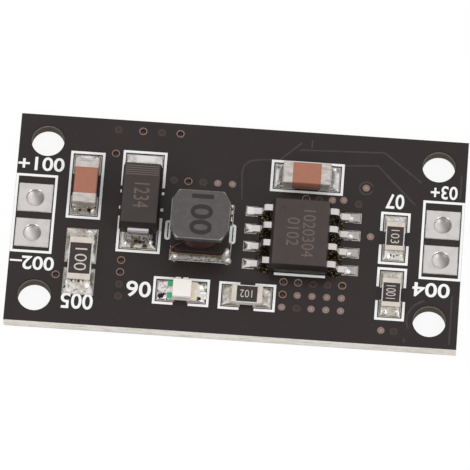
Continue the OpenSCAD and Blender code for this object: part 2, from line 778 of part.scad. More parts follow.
module led_resistor_base() { resistor_base(LED_RES, res_l, res_w, res_h); }
module led_resistor_coat() { resistor_coat(LED_RES, res_l, res_w, res_h, res_end_l); }
module led_resistor_terminals() { resistor_terminals(LED_RES, res_l, res_w, res_h, res_end_l); }
module led_resistor_solder() {
    resistor_solder(LED_RES, res_span, res_land_l, res_land_w, res_l, res_w, res_h, res_end_l);
}
module upper_resistor_base() { resistor_base(UPPER_RES, res_l, res_w, res_h); }
module upper_resistor_coat() { resistor_coat(UPPER_RES, res_l, res_w, res_h, res_end_l); }
module upper_resistor_terminals() {
    resistor_terminals(UPPER_RES, res_l, res_w, res_h, res_end_l);
}
module upper_resistor_solder() {
    resistor_solder(UPPER_RES, res_span, res_land_l, res_land_w, res_l, res_w, res_h, res_end_l);
}
module lower_resistor_base() { resistor_base(LOWER_RES, res_l, res_w, res_h); }
module lower_resistor_coat() { resistor_coat(LOWER_RES, res_l, res_w, res_h, res_end_l); }
module lower_resistor_terminals() {
    resistor_terminals(LOWER_RES, res_l, res_w, res_h, res_end_l);
}
module lower_resistor_solder() {
    resistor_solder(LOWER_RES, res_span, res_land_l, res_land_w, res_l, res_w, res_h, res_end_l);
}

// Lamp: a base with a round notch in each end, metal wrapped over the ends, and a moulded lens

module led_plan(l, w, notch_r) {
    difference() {
        square([l, w], center = true);
        for (side = [-1, 1]) translate([side * l / 2, 0]) circle(r = notch_r);
    }
}

// The base without its metal
module led_core() {
    inner_l = led_l - 2 * led_skin;
    translate([0, 0, led_skin]) linear_extrude(led_base_h - 2 * led_skin) difference() {
        square([inner_l, led_w], center = true);
        for (side = [-1, 1]) translate([side * led_l / 2, 0]) circle(r = led_notch_r + led_skin);
    }
    translate([0, 0, led_base_h - led_skin]) slab(led_lens_l, led_w, led_skin);
}

module led_base() {
    color("ivory") seated(LED, seat_z) led_core();
}

module led_terminals() {
    end_l = (led_l - led_lens_l) / 2;
    color("silver") seated(LED, seat_z) difference() {
        linear_extrude(led_base_h) led_plan(led_l, led_w, led_notch_r);
        led_core();
        translate([0, 0, -past]) slab(led_l - 2 * end_l, 2 * led_w, led_base_h + 2 * past);
    }
}

module led_lens() {
    foot = led_lens_l / 2;
    head = foot - led_lens_slope;
    color([0.93, 0.9, 0.86]) seated(LED, seat_z + led_base_h) rotate([90, 0, 0])
        translate([0, 0, -led_w / 2]) linear_extrude(led_w)
            polygon([[-foot, 0], [foot, 0], [head, led_lens_h], [-head, led_lens_h]]);
}

// Two green corner marks on the metal of the cathode end
module led_cathode_marks() {
    mark_l = 0.32;
    mark_w = 0.4;
    color("seagreen") seated(LED, seat_z + led_base_h) for (side = [-1, 1])
        translate([-led_lens_l / 2 - mark_l / 2, side * (led_w - mark_w) / 2, 0])
            slab(mark_l, mark_w, coat_t);
}

module led_solder() {
    h = 0.75 * led_base_h;
    color("lightgray") seated(LED, land_top) difference() {
        two_joints(lands_from_part(LED), led_span, res_land_l, led_land_w, led_l, led_w, h,
            res_heel);
        translate([0, 0, film_t]) linear_extrude(led_base_h) led_plan(led_l, led_w, led_notch_r);
    }
}

// Diode: a moulded body with drafted sides, and two leads bent down and in under it

// Block whose four sides fall back by draft from the parting line at half its height
module moulded(l, w, h, draft) {
    intersection() {
        rotate([90, 0, 0]) translate([0, 0, -w / 2]) linear_extrude(w) drafted(l, h, draft);
        rotate([90, 0, 90]) translate([0, 0, -l / 2]) linear_extrude(l) drafted(w, h, draft);
    }
}

module drafted(l, h, draft) {
    polygon([[-l / 2 + draft, 0], [l / 2 - draft, 0], [l / 2, h / 2],
        [l / 2 - draft, h], [-l / 2 + draft, h], [-l / 2, h / 2]]);
}

// Plane bend of a strip: a ring sector from angle a to angle b about the origin
module bend(r, t, a, b) {
    far = 3 * (r + t);
    mid = (a + b) / 2;
    intersection() {
        difference() {
            circle(r = r + t);
            circle(r = r);
        }
        polygon([[0, 0], far * [cos(a), sin(a)], far * [cos(mid), sin(mid)],
            far * [cos(b), sin(b)]]);
    }
}

diode_bend_r = 0.08;
diode_body_z = diode_lead_t + 0.02;

// Plane shape of the +X lead, foot on zero
module diode_lead_plan() {
    axis_z = diode_body_z + diode_h / 2;
    bend_x = diode_span / 2 - diode_lead_t - diode_bend_r;
    root = 0.5;
    foot_z = diode_lead_t + diode_bend_r;
    head_z = axis_z + diode_lead_t / 2 - foot_z;
    translate([diode_l / 2 - root, axis_z - diode_lead_t / 2])
        square([bend_x - diode_l / 2 + root, diode_lead_t]);
    translate([bend_x, head_z]) bend(diode_bend_r, diode_lead_t, 0, 90);
    translate([diode_span / 2 - diode_lead_t, foot_z]) square([diode_lead_t, head_z - foot_z]);
    translate([bend_x, foot_z]) bend(diode_bend_r, diode_lead_t, 270, 360);
    translate([diode_span / 2 - diode_foot_l, 0])
        square([bend_x - diode_span / 2 + diode_foot_l, diode_lead_t]);
}

module diode_lead_pair() {
    for (side = [0, 1]) mirror([side, 0, 0]) rotate([90, 0, 0])
        translate([0, 0, -diode_lead_w / 2]) linear_extrude(diode_lead_w) diode_lead_plan();
}

module diode_body() {
    color([0.24, 0.22, 0.21]) seated(DIODE, seat_z) difference() {
        translate([0, 0, diode_body_z]) moulded(diode_l, diode_w, diode_h, diode_draft);
        diode_lead_pair();
    }
}

module diode_leads() {
    color("silver") seated(DIODE, seat_z) diode_lead_pair();
}

module diode_solder() {
    h = 0.6;
    heel = diode_land_l - diode_toe - diode_foot_l - 0.05;
    color("lightgray") seated(DIODE, land_top) difference() {
        two_joints(lands_from_part(DIODE), diode_land_span, diode_land_l, diode_land_w,
            diode_span, diode_lead_w, h, heel);
        translate([0, 0, film_t]) diode_lead_pair();
        translate([0, 0, film_t + diode_lead_t])
            slab(diode_span - 2 * diode_lead_t, 2 * diode_w, diode_h);
    }
}

// Coil: a drum core of two flanges and a post, a winding, and metal strips under the core

module flange_plan(l, w, cut_l, cut_w) {
    polygon([[-l / 2 + cut_l, -w / 2], [l / 2 - cut_l, -w / 2], [l / 2, -w / 2 + cut_w],
        [l / 2, w / 2 - cut_w], [l / 2 - cut_l, w / 2], [-l / 2 + cut_l, w / 2],
        [-l / 2, w / 2 - cut_w], [-l / 2, -w / 2 + cut_w]]);
}

// The part's own X runs along the board's Y here, so the flange's width comes first
module coil_plan(shrink) {
    flange_plan(coil_w - 2 * shrink, coil_l - 2 * shrink, coil_cut_y, coil_cut_x);
}

module coil_base() {
    difference() {
        linear_extrude(coil_base_t) coil_plan(0);
        coil_strips();
    }
}

// Metal strips: a plate under each end of the lower flange, turned up on its sides
module coil_strips() {
    difference() {
        linear_extrude(coil_skin_h) coil_plan(0);
        translate([0, 0, coil_skin]) linear_extrude(coil_skin_h) coil_plan(coil_skin);
        translate([0, 0, -past]) slab(coil_w - 2 * coil_strip_w, 2 * coil_l, 2 * past);
    }
}

module coil_core() {
    color([0.36, 0.34, 0.34]) seated(COIL, seat_z) {
        coil_base();
        translate([0, 0, coil_base_t])
            cylinder(d = coil_post_d, h = coil_h - coil_top_t - coil_base_t);
        translate([0, 0, coil_h - coil_top_t]) linear_extrude(coil_top_t) coil_plan(0);
    }
}

// Winding: turns of round wire one over another, closed by its inner layers
module coil_winding() {
    gap_h = coil_h - coil_top_t - coil_base_t;
    turns = floor(gap_h / coil_wire_d);
    wire_r = gap_h / turns / 2;
    ring_r = coil_wound_d / 2 - wire_r;
    color("saddlebrown") seated(COIL, seat_z + coil_base_t) rotate_extrude() {
        translate([coil_post_d / 2, 0]) square([ring_r - coil_post_d / 2, gap_h]);
        for (i = [0 : turns - 1])
            translate([ring_r, (2 * i + 1) * wire_r]) circle(r = wire_r, $fn = 32);
    }
}

module coil_terminals() {
    color("silver") seated(COIL, seat_z) coil_strips();
}

module coil_solder() {
    h = 0.42;
    off = lands_from_part(COIL);
    color("lightgray") seated(COIL, land_top) difference() {
        intersection() {
            two_joints(off, coil_span, coil_land_l, coil_land_w, coil_w, coil_l, h, coil_heel);
            translate([off.x, off.y, 0]) slab(2 * coil_span, coil_land_w, 2 * h);
        }
        translate([0, 0, film_t]) linear_extrude(coil_h) coil_plan(0);
    }
}

// Charger chip: a moulded body and two rows of gull-wing leads

chip_axis_z = chip_lift + chip_h / 2;
chip_tip_x = chip_span / 2;
chip_foot_x = chip_tip_x - chip_foot_l;
chip_land_out = chip_tip_x + chip_toe;
chip_land_in = chip_foot_x - chip_bend_r - chip_lead_t - chip_heel;

// Plane shape of a gull-wing lead, foot on zero: shoulder, bend, leg, bend, foot
module gull_wing_plan() {
    t = chip_lead_t;
    slope = chip_lead_slope;
    mid_r = chip_bend_r + t / 2;
    low = [chip_foot_x, t + chip_bend_r];
    high_z = chip_axis_z - t / 2 - chip_bend_r;
    leg_l = (high_z - low.y + 2 * mid_r * cos(slope)) / sin(slope);
    high_x = low.x - 2 * mid_r * sin(slope) - leg_l * cos(slope);
    high = [round(1000 * high_x) / 1000, high_z];
    root = 0.3;
    lap = 0.02;
    hair = 0.003;
    translate([chip_w / 2 - root, chip_axis_z - t / 2]) square([high.x - chip_w / 2 + root, t]);
    translate(high) bend(chip_bend_r, t, 90 - slope, 90);
    translate(high) rotate(90 - slope) translate([chip_bend_r + hair, -leg_l - lap])
        square([t - 2 * hair, leg_l + 2 * lap]);
    translate(low) bend(chip_bend_r, t, 270 - slope, 270);
    translate([chip_foot_x, 0]) square([chip_foot_l, t]);
}

module chip_lead_rows() {
    for (side = [0, 1], i = [0 : 3]) mirror([side, 0, 0])
        translate([0, (i - 1.5) * chip_pitch + chip_lead_w / 2, 0]) rotate([90, 0, 0])
            linear_extrude(chip_lead_w) gull_wing_plan();
}

module charger_chip_body() {
    top_x = chip_w / 2 - chip_draft;
    dimple_r = 0.25;
    color([0.28, 0.26, 0.25]) seated(CHIP, seat_z) difference() {
        translate([0, 0, chip_lift]) moulded(chip_w, chip_l, chip_h, chip_draft);
        chip_lead_rows();
        translate([-top_x, chip_l, chip_lift + chip_h]) rotate([90, 0, 0])
            linear_extrude(2 * chip_l)
                polygon([[-chip_bevel, chip_bevel], [-chip_bevel, -chip_bevel],
                    [0, -chip_bevel], [chip_bevel / 2, 0], [chip_bevel, chip_bevel]]);
        translate([-top_x + 0.62, chip_l / 2 - 0.95, chip_lift + chip_h - 0.04])
            cylinder(r = dimple_r, h = past);
    }
}

module charger_chip_leads() {
    color("silver") seated(CHIP, seat_z) chip_lead_rows();
}

module charger_chip_solder() {
    h = chip_lead_t * 0.8;
    off = lands_from_part(CHIP);
    color("lightgray") seated(CHIP, land_top) difference() {
        for (side = [1, -1], i = [0 : 3]) mirror([side < 0 ? 1 : 0, 0, 0])
            translate([0, (i - 1.5) * chip_pitch, 0])
                joint(chip_land_in + side * off.x, chip_tip_x, chip_land_out + side * off.x,
                    off.y - chip_land_w / 2, off.y + chip_land_w / 2, chip_lead_w / 2,
                    h + film_t, max(0, chip_heel - side * off.x));
        translate([0, 0, film_t]) chip_lead_rows();
    }
}

laminate_board();
solder_mask_top();
solder_mask_bottom();
silkscreen();
battery_plus_pad();
battery_minus_pad();
input_plus_pad();
input_minus_pad();
wire_hole_solder();
component_lands();
open_vias();
covered_vias();
plugged_vias();
input_cap_body();
input_cap_terminals();
input_cap_solder();
output_cap_body();
output_cap_terminals();
output_cap_solder();
sense_resistor_base();
sense_resistor_coat();
sense_resistor_terminals();
sense_resistor_solder();
led_resistor_base();
led_resistor_coat();
led_resistor_terminals();
led_resistor_solder();
upper_resistor_base();
upper_resistor_coat();
upper_resistor_terminals();
upper_resistor_solder();
lower_resistor_base();
lower_resistor_coat();
lower_resistor_terminals();
lower_resistor_solder();
led_base();
led_lens();
led_terminals();
led_cathode_marks();
led_solder();
diode_body();
diode_leads();
diode_solder();
coil_core();
coil_winding();
coil_terminals();
coil_solder();
charger_chip_body();
charger_chip_leads();
charger_chip_solder();
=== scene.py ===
"""Looks of a small battery charger board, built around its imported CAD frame."""

import math

import bmesh
import bpy
from mathutils import Matrix, Vector, noise


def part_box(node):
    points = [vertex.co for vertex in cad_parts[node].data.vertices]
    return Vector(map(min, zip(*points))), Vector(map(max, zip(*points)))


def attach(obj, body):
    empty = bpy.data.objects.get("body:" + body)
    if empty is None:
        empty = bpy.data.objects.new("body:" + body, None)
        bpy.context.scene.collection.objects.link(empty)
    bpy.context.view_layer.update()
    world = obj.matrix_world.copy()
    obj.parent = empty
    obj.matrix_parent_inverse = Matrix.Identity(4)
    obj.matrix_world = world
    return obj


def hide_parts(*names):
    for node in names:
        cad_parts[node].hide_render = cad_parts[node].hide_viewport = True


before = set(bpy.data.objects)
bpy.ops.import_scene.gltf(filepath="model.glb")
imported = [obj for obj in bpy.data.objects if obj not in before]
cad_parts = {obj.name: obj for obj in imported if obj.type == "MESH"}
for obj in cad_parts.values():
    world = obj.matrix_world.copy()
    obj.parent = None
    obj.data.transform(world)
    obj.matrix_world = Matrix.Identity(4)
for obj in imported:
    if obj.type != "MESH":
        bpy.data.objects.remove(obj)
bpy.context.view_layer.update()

bl_info = {
    "name": "Charger Board Looks",
    "version": (1, 0, 0),
    "blender": (4, 5, 0),
    "location": "3D View > Sidebar > Board",
    "description": "Finishes, solder, printing and studio for a small charger board",
    "category": "Object",
}

MM = 0.001
BOARD_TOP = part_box("solder_mask_top")[1].z
LAND_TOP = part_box("component_lands")[1].z

# Mounting holes: middle of the one at +X +Y, and radius. Radius of the wire holes
HOLE = (13.1 * MM, 5.6 * MM)
HOLE_RADIUS = 1.1 * MM
WIRE_HOLE = 0.6 * MM

# Camera fitted to the photograph: angles in degrees, then pixels, then metres
ELEVATION, AZIMUTH, ROLL = 66.60, 3.154, 0.985
FRAME_PX, FOCAL_PX, SHIFT_PX = 470.0, 6377.0, (-2.414, 1.510)
FITTED_DISTANCE = 0.425
SENSOR_MM = 36.0

# Place and width of the two front lights, in metres
LIGHTS = (("front_left", (-0.21, -0.24, 0.20)), ("front_right", (0.23, -0.20, 0.22)))
LIGHT_WIDTH = 0.13


# Property groups


class BoardFinish(bpy.types.PropertyGroup):
    """Colours of the board itself"""

    mask: bpy.props.FloatVectorProperty(
        name="Mask", description="Colour of the solder mask",
        subtype="COLOR", default=(0.0225, 0.0165, 0.0155))
    laminate: bpy.props.FloatVectorProperty(
        name="Laminate", description="Colour of the bare glass-fibre edge",
        subtype="COLOR", default=(0.80, 0.76, 0.70))
    ink: bpy.props.FloatVectorProperty(
        name="Ink", description="Colour of the white printing",
        subtype="COLOR", default=(0.93, 0.93, 0.935))
    relief: bpy.props.FloatProperty(
        name="Track height", description="Height at which covered tracks stand out of the mask",
        subtype="DISTANCE", default=0.008 * MM, min=0.002 * MM, max=0.03 * MM, precision=6)


class MetalFinish(bpy.types.PropertyGroup):
    """Colours of the metals"""

    tin: bpy.props.FloatVectorProperty(
        name="Tin", description="Colour of tinned lands, pads and leads",
        subtype="COLOR", default=(0.70, 0.665, 0.655))
    solder: bpy.props.FloatVectorProperty(
        name="Solder", description="Colour of the melted solder",
        subtype="COLOR", default=(0.80, 0.78, 0.76))
    copper: bpy.props.FloatVectorProperty(
        name="Copper", description="Colour of copper seen through a thin mask",
        subtype="COLOR", default=(0.18, 0.085, 0.065))
    solder_lumps: bpy.props.FloatProperty(
        name="Solder lumps", description="Unevenness of the solder's surface",
        subtype="DISTANCE", default=0.014 * MM, min=0.0, max=0.08 * MM, precision=6)


class PartFinish(bpy.types.PropertyGroup):
    """Colours of the soldered parts"""

    ceramic: bpy.props.FloatVectorProperty(
        name="Capacitor", description="Colour of the capacitors' ceramic",
        subtype="COLOR", default=(0.39, 0.15, 0.092))
    moulding: bpy.props.FloatVectorProperty(
        name="Moulding", description="Colour of the chip's and the diode's moulding compound",
        subtype="COLOR", default=(0.040, 0.030, 0.028))
    ferrite: bpy.props.FloatVectorProperty(
        name="Ferrite", description="Colour of the coil's core",
        subtype="COLOR", default=(0.082, 0.074, 0.073))
    wire: bpy.props.FloatVectorProperty(
        name="Wire", description="Colour of the coil's enamelled wire",
        subtype="COLOR", default=(0.30, 0.105, 0.045))
    edge_round: bpy.props.FloatProperty(
        name="Edge rounding", description="Radius of the softened edges of moulded parts",
        subtype="DISTANCE", default=0.05 * MM, min=0.005 * MM, max=0.1 * MM, precision=6)


class StudioSettings(bpy.types.PropertyGroup):
    """Light and camera"""

    front: bpy.props.FloatProperty(
        name="Front lights", description="Power of each of the two front lights in watts",
        default=0.26, min=0.0, max=5.0)
    sky: bpy.props.FloatProperty(
        name="Sky", description="Strength of the light from above and behind",
        default=0.92, min=0.0, max=2.0)
    front_dark: bpy.props.FloatProperty(
        name="Dark front", description="Share of the sky's strength low in front of the board",
        default=0.16, min=0.0, max=1.0)
    distance: bpy.props.FloatProperty(
        name="Distance", description="Distance from the camera to the board's middle",
        subtype="DISTANCE", default=FITTED_DISTANCE, min=0.2, max=1.0)


def settings():
    return bpy.context.scene.charger_board


class BoardSettings(bpy.types.PropertyGroup):
    """All settings of the board's looks"""

    board: bpy.props.PointerProperty(type=BoardFinish)
    metal: bpy.props.PointerProperty(type=MetalFinish)
    part: bpy.props.PointerProperty(type=PartFinish)
    studio: bpy.props.PointerProperty(type=StudioSettings)


# Materials


def fill(tree, node, sockets):
    """Gives each socket of a node its value, or the output that feeds it."""
    for name, value in sockets.items():
        place = node.inputs[name]
        if isinstance(value, bpy.types.NodeSocket):
            tree.links.new(value, place)
        else:
            place.default_value = value


def add_node(tree, kind, sockets=None, **options):
    """Adds a node with its options set and its sockets filled."""
    node = tree.nodes.new(kind)
    for name, value in options.items():
        setattr(node, name, value)
    fill(tree, node, sockets or {})
    return node


def calc(tree, operation, *values):
    """One arithmetic step on outputs and numbers."""
    node = add_node(tree, "ShaderNodeMath", dict(enumerate(values)), operation=operation)
    return node.outputs["Value"]


class Finish:
    """A material under construction: a surface shader with object coordinates."""

    def __init__(self, name, colour, roughness, metallic=0.0):
        self.material = bpy.data.materials.new(name)
        self.material.use_nodes = True
        self.tree = self.material.node_tree
        self.shader = self.tree.nodes["Principled BSDF"]
        self.set(Base_Color=(*colour, 1.0), Roughness=roughness, Metallic=metallic)
        self.coords = self.node("ShaderNodeTexCoord").outputs["Object"]

    def node(self, kind, sockets=None, **options):
        return add_node(self.tree, kind, sockets, **options)

    def set(self, **sockets):
        """Fills sockets of the shader, named with underscores for spaces."""
        fill(self.tree, self.shader, {n.replace("_", " "): v for n, v in sockets.items()})

    def plus(self, *values):
        return calc(self.tree, "ADD", *values)

    def minus(self, *values):
        return calc(self.tree, "SUBTRACT", *values)

    def times(self, *values):
        return calc(self.tree, "MULTIPLY", *values)

    def stretched(self, scale):
        """Object coordinates stretched along the axes."""
        mapping = self.node("ShaderNodeMapping", {"Scale": scale, "Vector": self.coords})
        return mapping.outputs["Vector"]

    def grain(self, size, detail=3.0, rough=0.55, coords=None):
        """Noise whose blotches are about size mm across."""
        return self.node("ShaderNodeTexNoise", {
            "Scale": 1.0 / (size * MM), "Detail": detail, "Roughness": rough,
            "Vector": coords or self.coords}).outputs["Fac"]

    def cells(self, size, coords):
        """Distance from the middles of cells about size mm across."""
        return self.node("ShaderNodeTexVoronoi", {
            "Scale": 1.0 / (size * MM), "Vector": coords}).outputs["Distance"]

    def ramp(self, value, low, high, from_value=0.0, to_value=1.0):
        """Maps low..high to from_value..to_value, held at both ends."""
        return self.node("ShaderNodeMapRange", {
            "From Min": low, "From Max": high, "To Min": from_value, "To Max": to_value,
            "Value": value}, interpolation_type="SMOOTHSTEP").outputs["Result"]

    def along(self, axis):
        """Place along one axis of the board, in metres."""
        return self.node("ShaderNodeSeparateXYZ", {"Vector": self.coords}).outputs[axis]

    def band(self, axis, low, high, from_value=0.0, to_value=1.0):
        """A ramp along one axis of the board."""
        return self.ramp(self.along(axis), low, high, from_value, to_value)

    def share(self, axis, middle, half):
        """Distance from a middle as a share of the half length."""
        away = calc(self.tree, "ABSOLUTE", self.minus(self.along(axis), middle))
        return calc(self.tree, "DIVIDE", away, half)

    def length(self, legs):
        """Length of a plan step given by its two legs."""
        return calc(self.tree, "SQRT", self.plus(*[self.times(leg, leg) for leg in legs]))

    def from_holes(self):
        """Distance from the middle of the nearest mounting hole."""
        return self.length([self.minus(calc(self.tree, "ABSOLUTE", self.along(axis)), place)
                            for axis, place in zip("XY", HOLE)])

    def spots(self, places):
        """Mask that is 1 on round spots given by x, y and radius in mm, with ragged edges."""
        ragged = self.times(self.minus(self.grain(0.12, 2.0), 0.5), 0.25 * MM)
        nearest = 1.0
        for x, y, radius in places:
            away = self.length([self.minus(self.along(axis), place * MM)
                                for axis, place in (("X", x), ("Y", y))])
            nearest = calc(self.tree, "MINIMUM", self.minus(away, radius * MM), nearest)
        return self.ramp(self.plus(nearest, ragged), -0.04 * MM, 0.03 * MM, 1.0, 0.0)

    def paint(self, mask, colour):
        """Mixes a colour over the base colour where the mask is 1."""
        base = self.shader.inputs["Base Color"]
        under = base.links[0].from_socket if base.is_linked else base.default_value
        node = self.node("ShaderNodeMix", data_type="RGBA")
        fill(self.tree, node, {"A": under, "B": (*colour, 1.0), "Factor": mask})
        self.tree.links.new(node.outputs["Result"], base)

    def mottle(self, size, detail, low, high, amount, colour, rough=0.55):
        """Paints an amount of a colour in blotches, where the noise rises from low to high."""
        self.paint(self.ramp(self.grain(size, detail, rough), low, high, 0.0, amount), colour)

    def gloss(self, size, detail, low, high):
        """Roughness between low and high in blotches."""
        self.set(Roughness=self.ramp(self.grain(size, detail), 0.3, 0.7, low, high))

    def uneven(self, size, detail, height, rough=0.55):
        """Waves about size mm across and height mm high, on top of earlier ones."""
        normal = self.shader.inputs["Normal"]
        node = self.node("ShaderNodeBump", {"Distance": height * MM,
                                            "Height": self.grain(size, detail, rough)})
        if normal.is_linked:
            self.tree.links.new(normal.links[0].from_socket, node.inputs["Normal"])
        self.tree.links.new(node.outputs["Normal"], normal)


def lighter(colour, factor):
    """A colour times a factor, which may also darken it."""
    return tuple(min(1.0, c * factor) for c in colour)


def mask_finish():
    colour = settings().board.mask
    f = Finish("black_mask", colour, 0.33)
    f.set(Specular_IOR_Level=0.27)
    f.mottle(3.4, 2.0, 0.35, 0.7, 0.5, lighter(colour, 1.3))
    f.mottle(0.10, 1.0, 0.73, 0.79, 1.0, (0.12, 0.085, 0.07))
    f.gloss(0.6, 3.0, 0.29, 0.37)
    f.uneven(0.16, 2.0, 0.0006)
    return f.material


def laminate_finish():
    colour = settings().board.laminate
    f = Finish("glass_fibre", colour, 0.75)
    layers = f.grain(0.35, 3.0, 0.6, f.stretched((0.35, 0.35, 3.0)))
    f.paint(f.ramp(layers, 0.46, 0.68, 0.0, 0.8), (0.50, 0.45, 0.38))
    threads = f.cells(0.14, f.stretched((1.0, 1.0, 1.6)))
    f.paint(f.ramp(threads, 0.16, 0.34, 0.75, 0.0), (0.90, 0.87, 0.82))
    specks = f.ramp(f.grain(0.07, 2.0), 0.64, 0.73)
    f.paint(specks, (0.16, 0.135, 0.11))
    # Painted shade: the walls of the mounting holes are painted dark
    inside = f.ramp(f.from_holes(), HOLE_RADIUS + 0.09 * MM, HOLE_RADIUS + 0.10 * MM, 1.0, 0.0)
    f.paint(inside, (0.060, 0.042, 0.024))
    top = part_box("laminate_board")[1].z
    # Painted highlight: a paler band along the top of the hole walls
    rim = f.band("Z", top - 0.24 * MM, top - 0.16 * MM, 0.0, 0.8)
    f.paint(f.times(inside, rim), (0.26, 0.22, 0.175))
    lip = f.band("Z", top - 0.01 * MM, top - 0.004 * MM)
    f.paint(f.times(inside, lip), settings().board.mask)
    f.uneven(0.06, 4.0, 0.02, 0.7)
    return f.material


def simple_finish(name, colour, roughness, blotches, waves, gloss=None, metallic=0.0):
    """A finish with blotches of one other colour and fine waves."""
    f = Finish(name, colour, roughness, metallic)
    f.mottle(*blotches)
    if gloss:
        f.gloss(*gloss)
    f.uneven(*waves)
    return f.material


# Name, colour, roughness; blotches: size, detail, low, high, amount, colour; waves: size, detail,
# height; gloss: size, detail, low, high
PLAIN = {
    "resistor_base": ("white_alumina", (0.74, 0.73, 0.70), 0.55,
                      (0.15, 3.0, 0.45, 0.7, 0.5, (0.55, 0.53, 0.50)), (0.05, 3.0, 0.005)),
    # The lighter blotches of the black glaze are painted highlights
    "resistor_coat": ("black_glaze", (0.024, 0.0155, 0.014), 0.30,
                      (0.25, 3.0, 0.45, 0.7, 0.6, (0.046, 0.033, 0.030)),
                      (0.14, 2.0, 0.010), (0.2, 2.0, 0.24, 0.42)),
    "led_base": ("lamp_base", (0.92, 0.84, 0.76), 0.5,
                 (0.1, 3.0, 0.45, 0.7, 0.5, (0.80, 0.72, 0.62)), (0.05, 3.0, 0.005)),
    "led_cathode_marks": ("green_mark", (0.045, 0.40, 0.20), 0.45,
                          (0.08, 2.0, 0.5, 0.7, 0.6, (0.12, 0.42, 0.26)), (0.06, 2.0, 0.004)),
}


def ink_finish():
    return simple_finish("white_ink", settings().board.ink, 0.6,
                         (0.10, 3.0, 0.60, 0.80, 0.4, (0.45, 0.44, 0.43), 0.65),
                         (0.09, 3.0, 0.003))


def tin_finish(name, roughness, wave, colour=None):
    """Tinned metal: wave is the height of its slow waves."""
    colour = colour or settings().metal.tin
    f = Finish(name, colour, roughness, 1.0)
    stain = f.ramp(f.grain(0.8, 2.0, 0.5), 0.45, 0.7, 0.0, 0.4)
    f.paint(stain, lighter(colour, 0.72))
    f.gloss(0.3, 3.0, roughness * 0.85, roughness * 1.2)
    f.uneven(0.5, 1.0, wave, 0.5)
    f.uneven(0.09, 2.0, 0.0010, 0.5)
    return f.material


def dish_finish():
    """Solder that fills a wire hole, painted paler than the tin, with painted shade over the far
    right half of each dish.
    """
    colour = settings().metal.tin
    lo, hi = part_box("wire_hole_solder")
    f = Finish("dish_tin", lighter(colour, 1.25), 0.5, 1.0)
    offsets = []
    for axis, low, high in (("X", lo.x, hi.x), ("Y", lo.y, hi.y)):
        place = f.minus(f.along(axis), (low + high) / 2)
        centre = f.times(calc(f.tree, "SIGN", place), (high - low) / 2 - WIRE_HOLE)
        offsets.append(f.minus(place, centre))
    # Painted shade: the far right half of each dish is painted darker, as on a lit hollow
    painted_shade_slant = f.plus(offsets[0], f.times(offsets[1], 0.6))
    f.paint(f.ramp(painted_shade_slant, -0.45 * MM, 0.40 * MM), lighter(colour, 0.45))
    f.gloss(0.3, 2.0, 0.45, 0.55)
    f.uneven(0.4, 1.0, 0.006)
    return f.material


def solder_finish(name, flux=0.0, dull=1.0, dark_spots=()):
    """Melted solder; flux is how much brown flux lies on it in patches."""
    colour = settings().metal.solder
    f = Finish(name, colour, 0.2, 1.0)
    f.mottle(0.35, 2.0, 0.5, 0.7, 0.5, lighter(colour, 0.62), 0.5)
    if flux > 0:
        f.paint(f.ramp(f.grain(0.45, 2.0), 0.38, 0.62, flux, 0.0), (0.44, 0.385, 0.27))
        f.mottle(0.2, 2.0, 0.60, 0.68, flux, (0.12, 0.09, 0.06))
    # Dark spots painted on the solder; the capacitor's stand for a painted dark reflection
    if dark_spots:
        f.paint(f.spots(dark_spots), (0.03, 0.02, 0.012))
    f.gloss(0.3, 3.0, 0.2 * dull, 0.32 * dull)
    f.uneven(0.35, 1.0, 0.004)
    return f.material


def lump_finish(name):
    """Smooth lump of solder, painted paler than the solder as painted highlight."""
    return simple_finish(name, (0.98, 0.96, 0.93), 0.4,
                         (0.3, 2.0, 0.60, 0.72, 0.5, (0.42, 0.36, 0.30)), (0.2, 2.0, 0.004),
                         (0.2, 2.0, 0.44, 0.6), 1.0)


def diode_solder_finish():
    """Solder with golden flux before the near lead and dull tin at its sides."""
    lo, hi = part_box("diode_leads")
    middle = (lo + hi) / 2
    f = Finish("diode_solder_melt", settings().metal.solder, 0.2, 1.0)
    near = f.band("Y", lo.y - 0.12 * MM, lo.y + 0.02 * MM, 1.0, 0.0)
    off_middle = calc(f.tree, "ABSOLUTE", f.minus(f.along("X"), middle.x + 0.12 * MM))
    narrow = f.ramp(off_middle, 0.45 * MM, 0.75 * MM, 1.0, 0.0)
    pool = f.times(near, narrow)
    f.paint(f.times(pool, f.ramp(f.grain(0.3, 3.0), 0.38, 0.6, 0.95, 0.2)), (0.20, 0.155, 0.075))
    f.paint(f.times(pool, f.ramp(f.grain(0.22, 2.0), 0.52, 0.62)), (0.045, 0.034, 0.022))
    dull = f.ramp(f.grain(0.25, 3.0), 0.4, 0.65, 0.2, 0.8)
    f.paint(f.times(f.minus(1.0, narrow), dull), (0.50, 0.45, 0.43))
    f.gloss(0.3, 3.0, 0.16, 0.32)
    f.uneven(0.25, 2.0, 0.007)
    return f.material


def lamp_solder_finish():
    """Solder of the lamp, with a dark violet stain on its left land."""
    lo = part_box("led_lens")[0]
    f = Finish("lamp_solder", settings().metal.solder, 0.28, 1.0)
    left = f.band("X", lo.x - 0.3 * MM, lo.x - 0.2 * MM, 1.0, 0.0)
    f.paint(f.times(left, f.ramp(f.grain(0.2, 2.0), 0.46, 0.6, 0.0, 0.8)),
            (0.42, 0.33, 0.36))
    f.paint(f.spots([(-4.74, -5.12, 0.21), (-4.55, -5.02, 0.12), (-4.98, -4.75, 0.08)]),
            (0.035, 0.016, 0.028))
    f.paint(f.spots([(-2.20, -4.02, 0.13), (-2.22, -5.20, 0.14), (-1.72, -4.05, 0.05)]),
            (0.04, 0.026, 0.014))
    f.paint(f.spots([(-4.36, -4.58, 0.08)]), (0.45, 0.12, 0.10))
    f.gloss(0.3, 3.0, 0.22, 0.4)
    f.uneven(0.18, 2.0, 0.008)
    return f.material


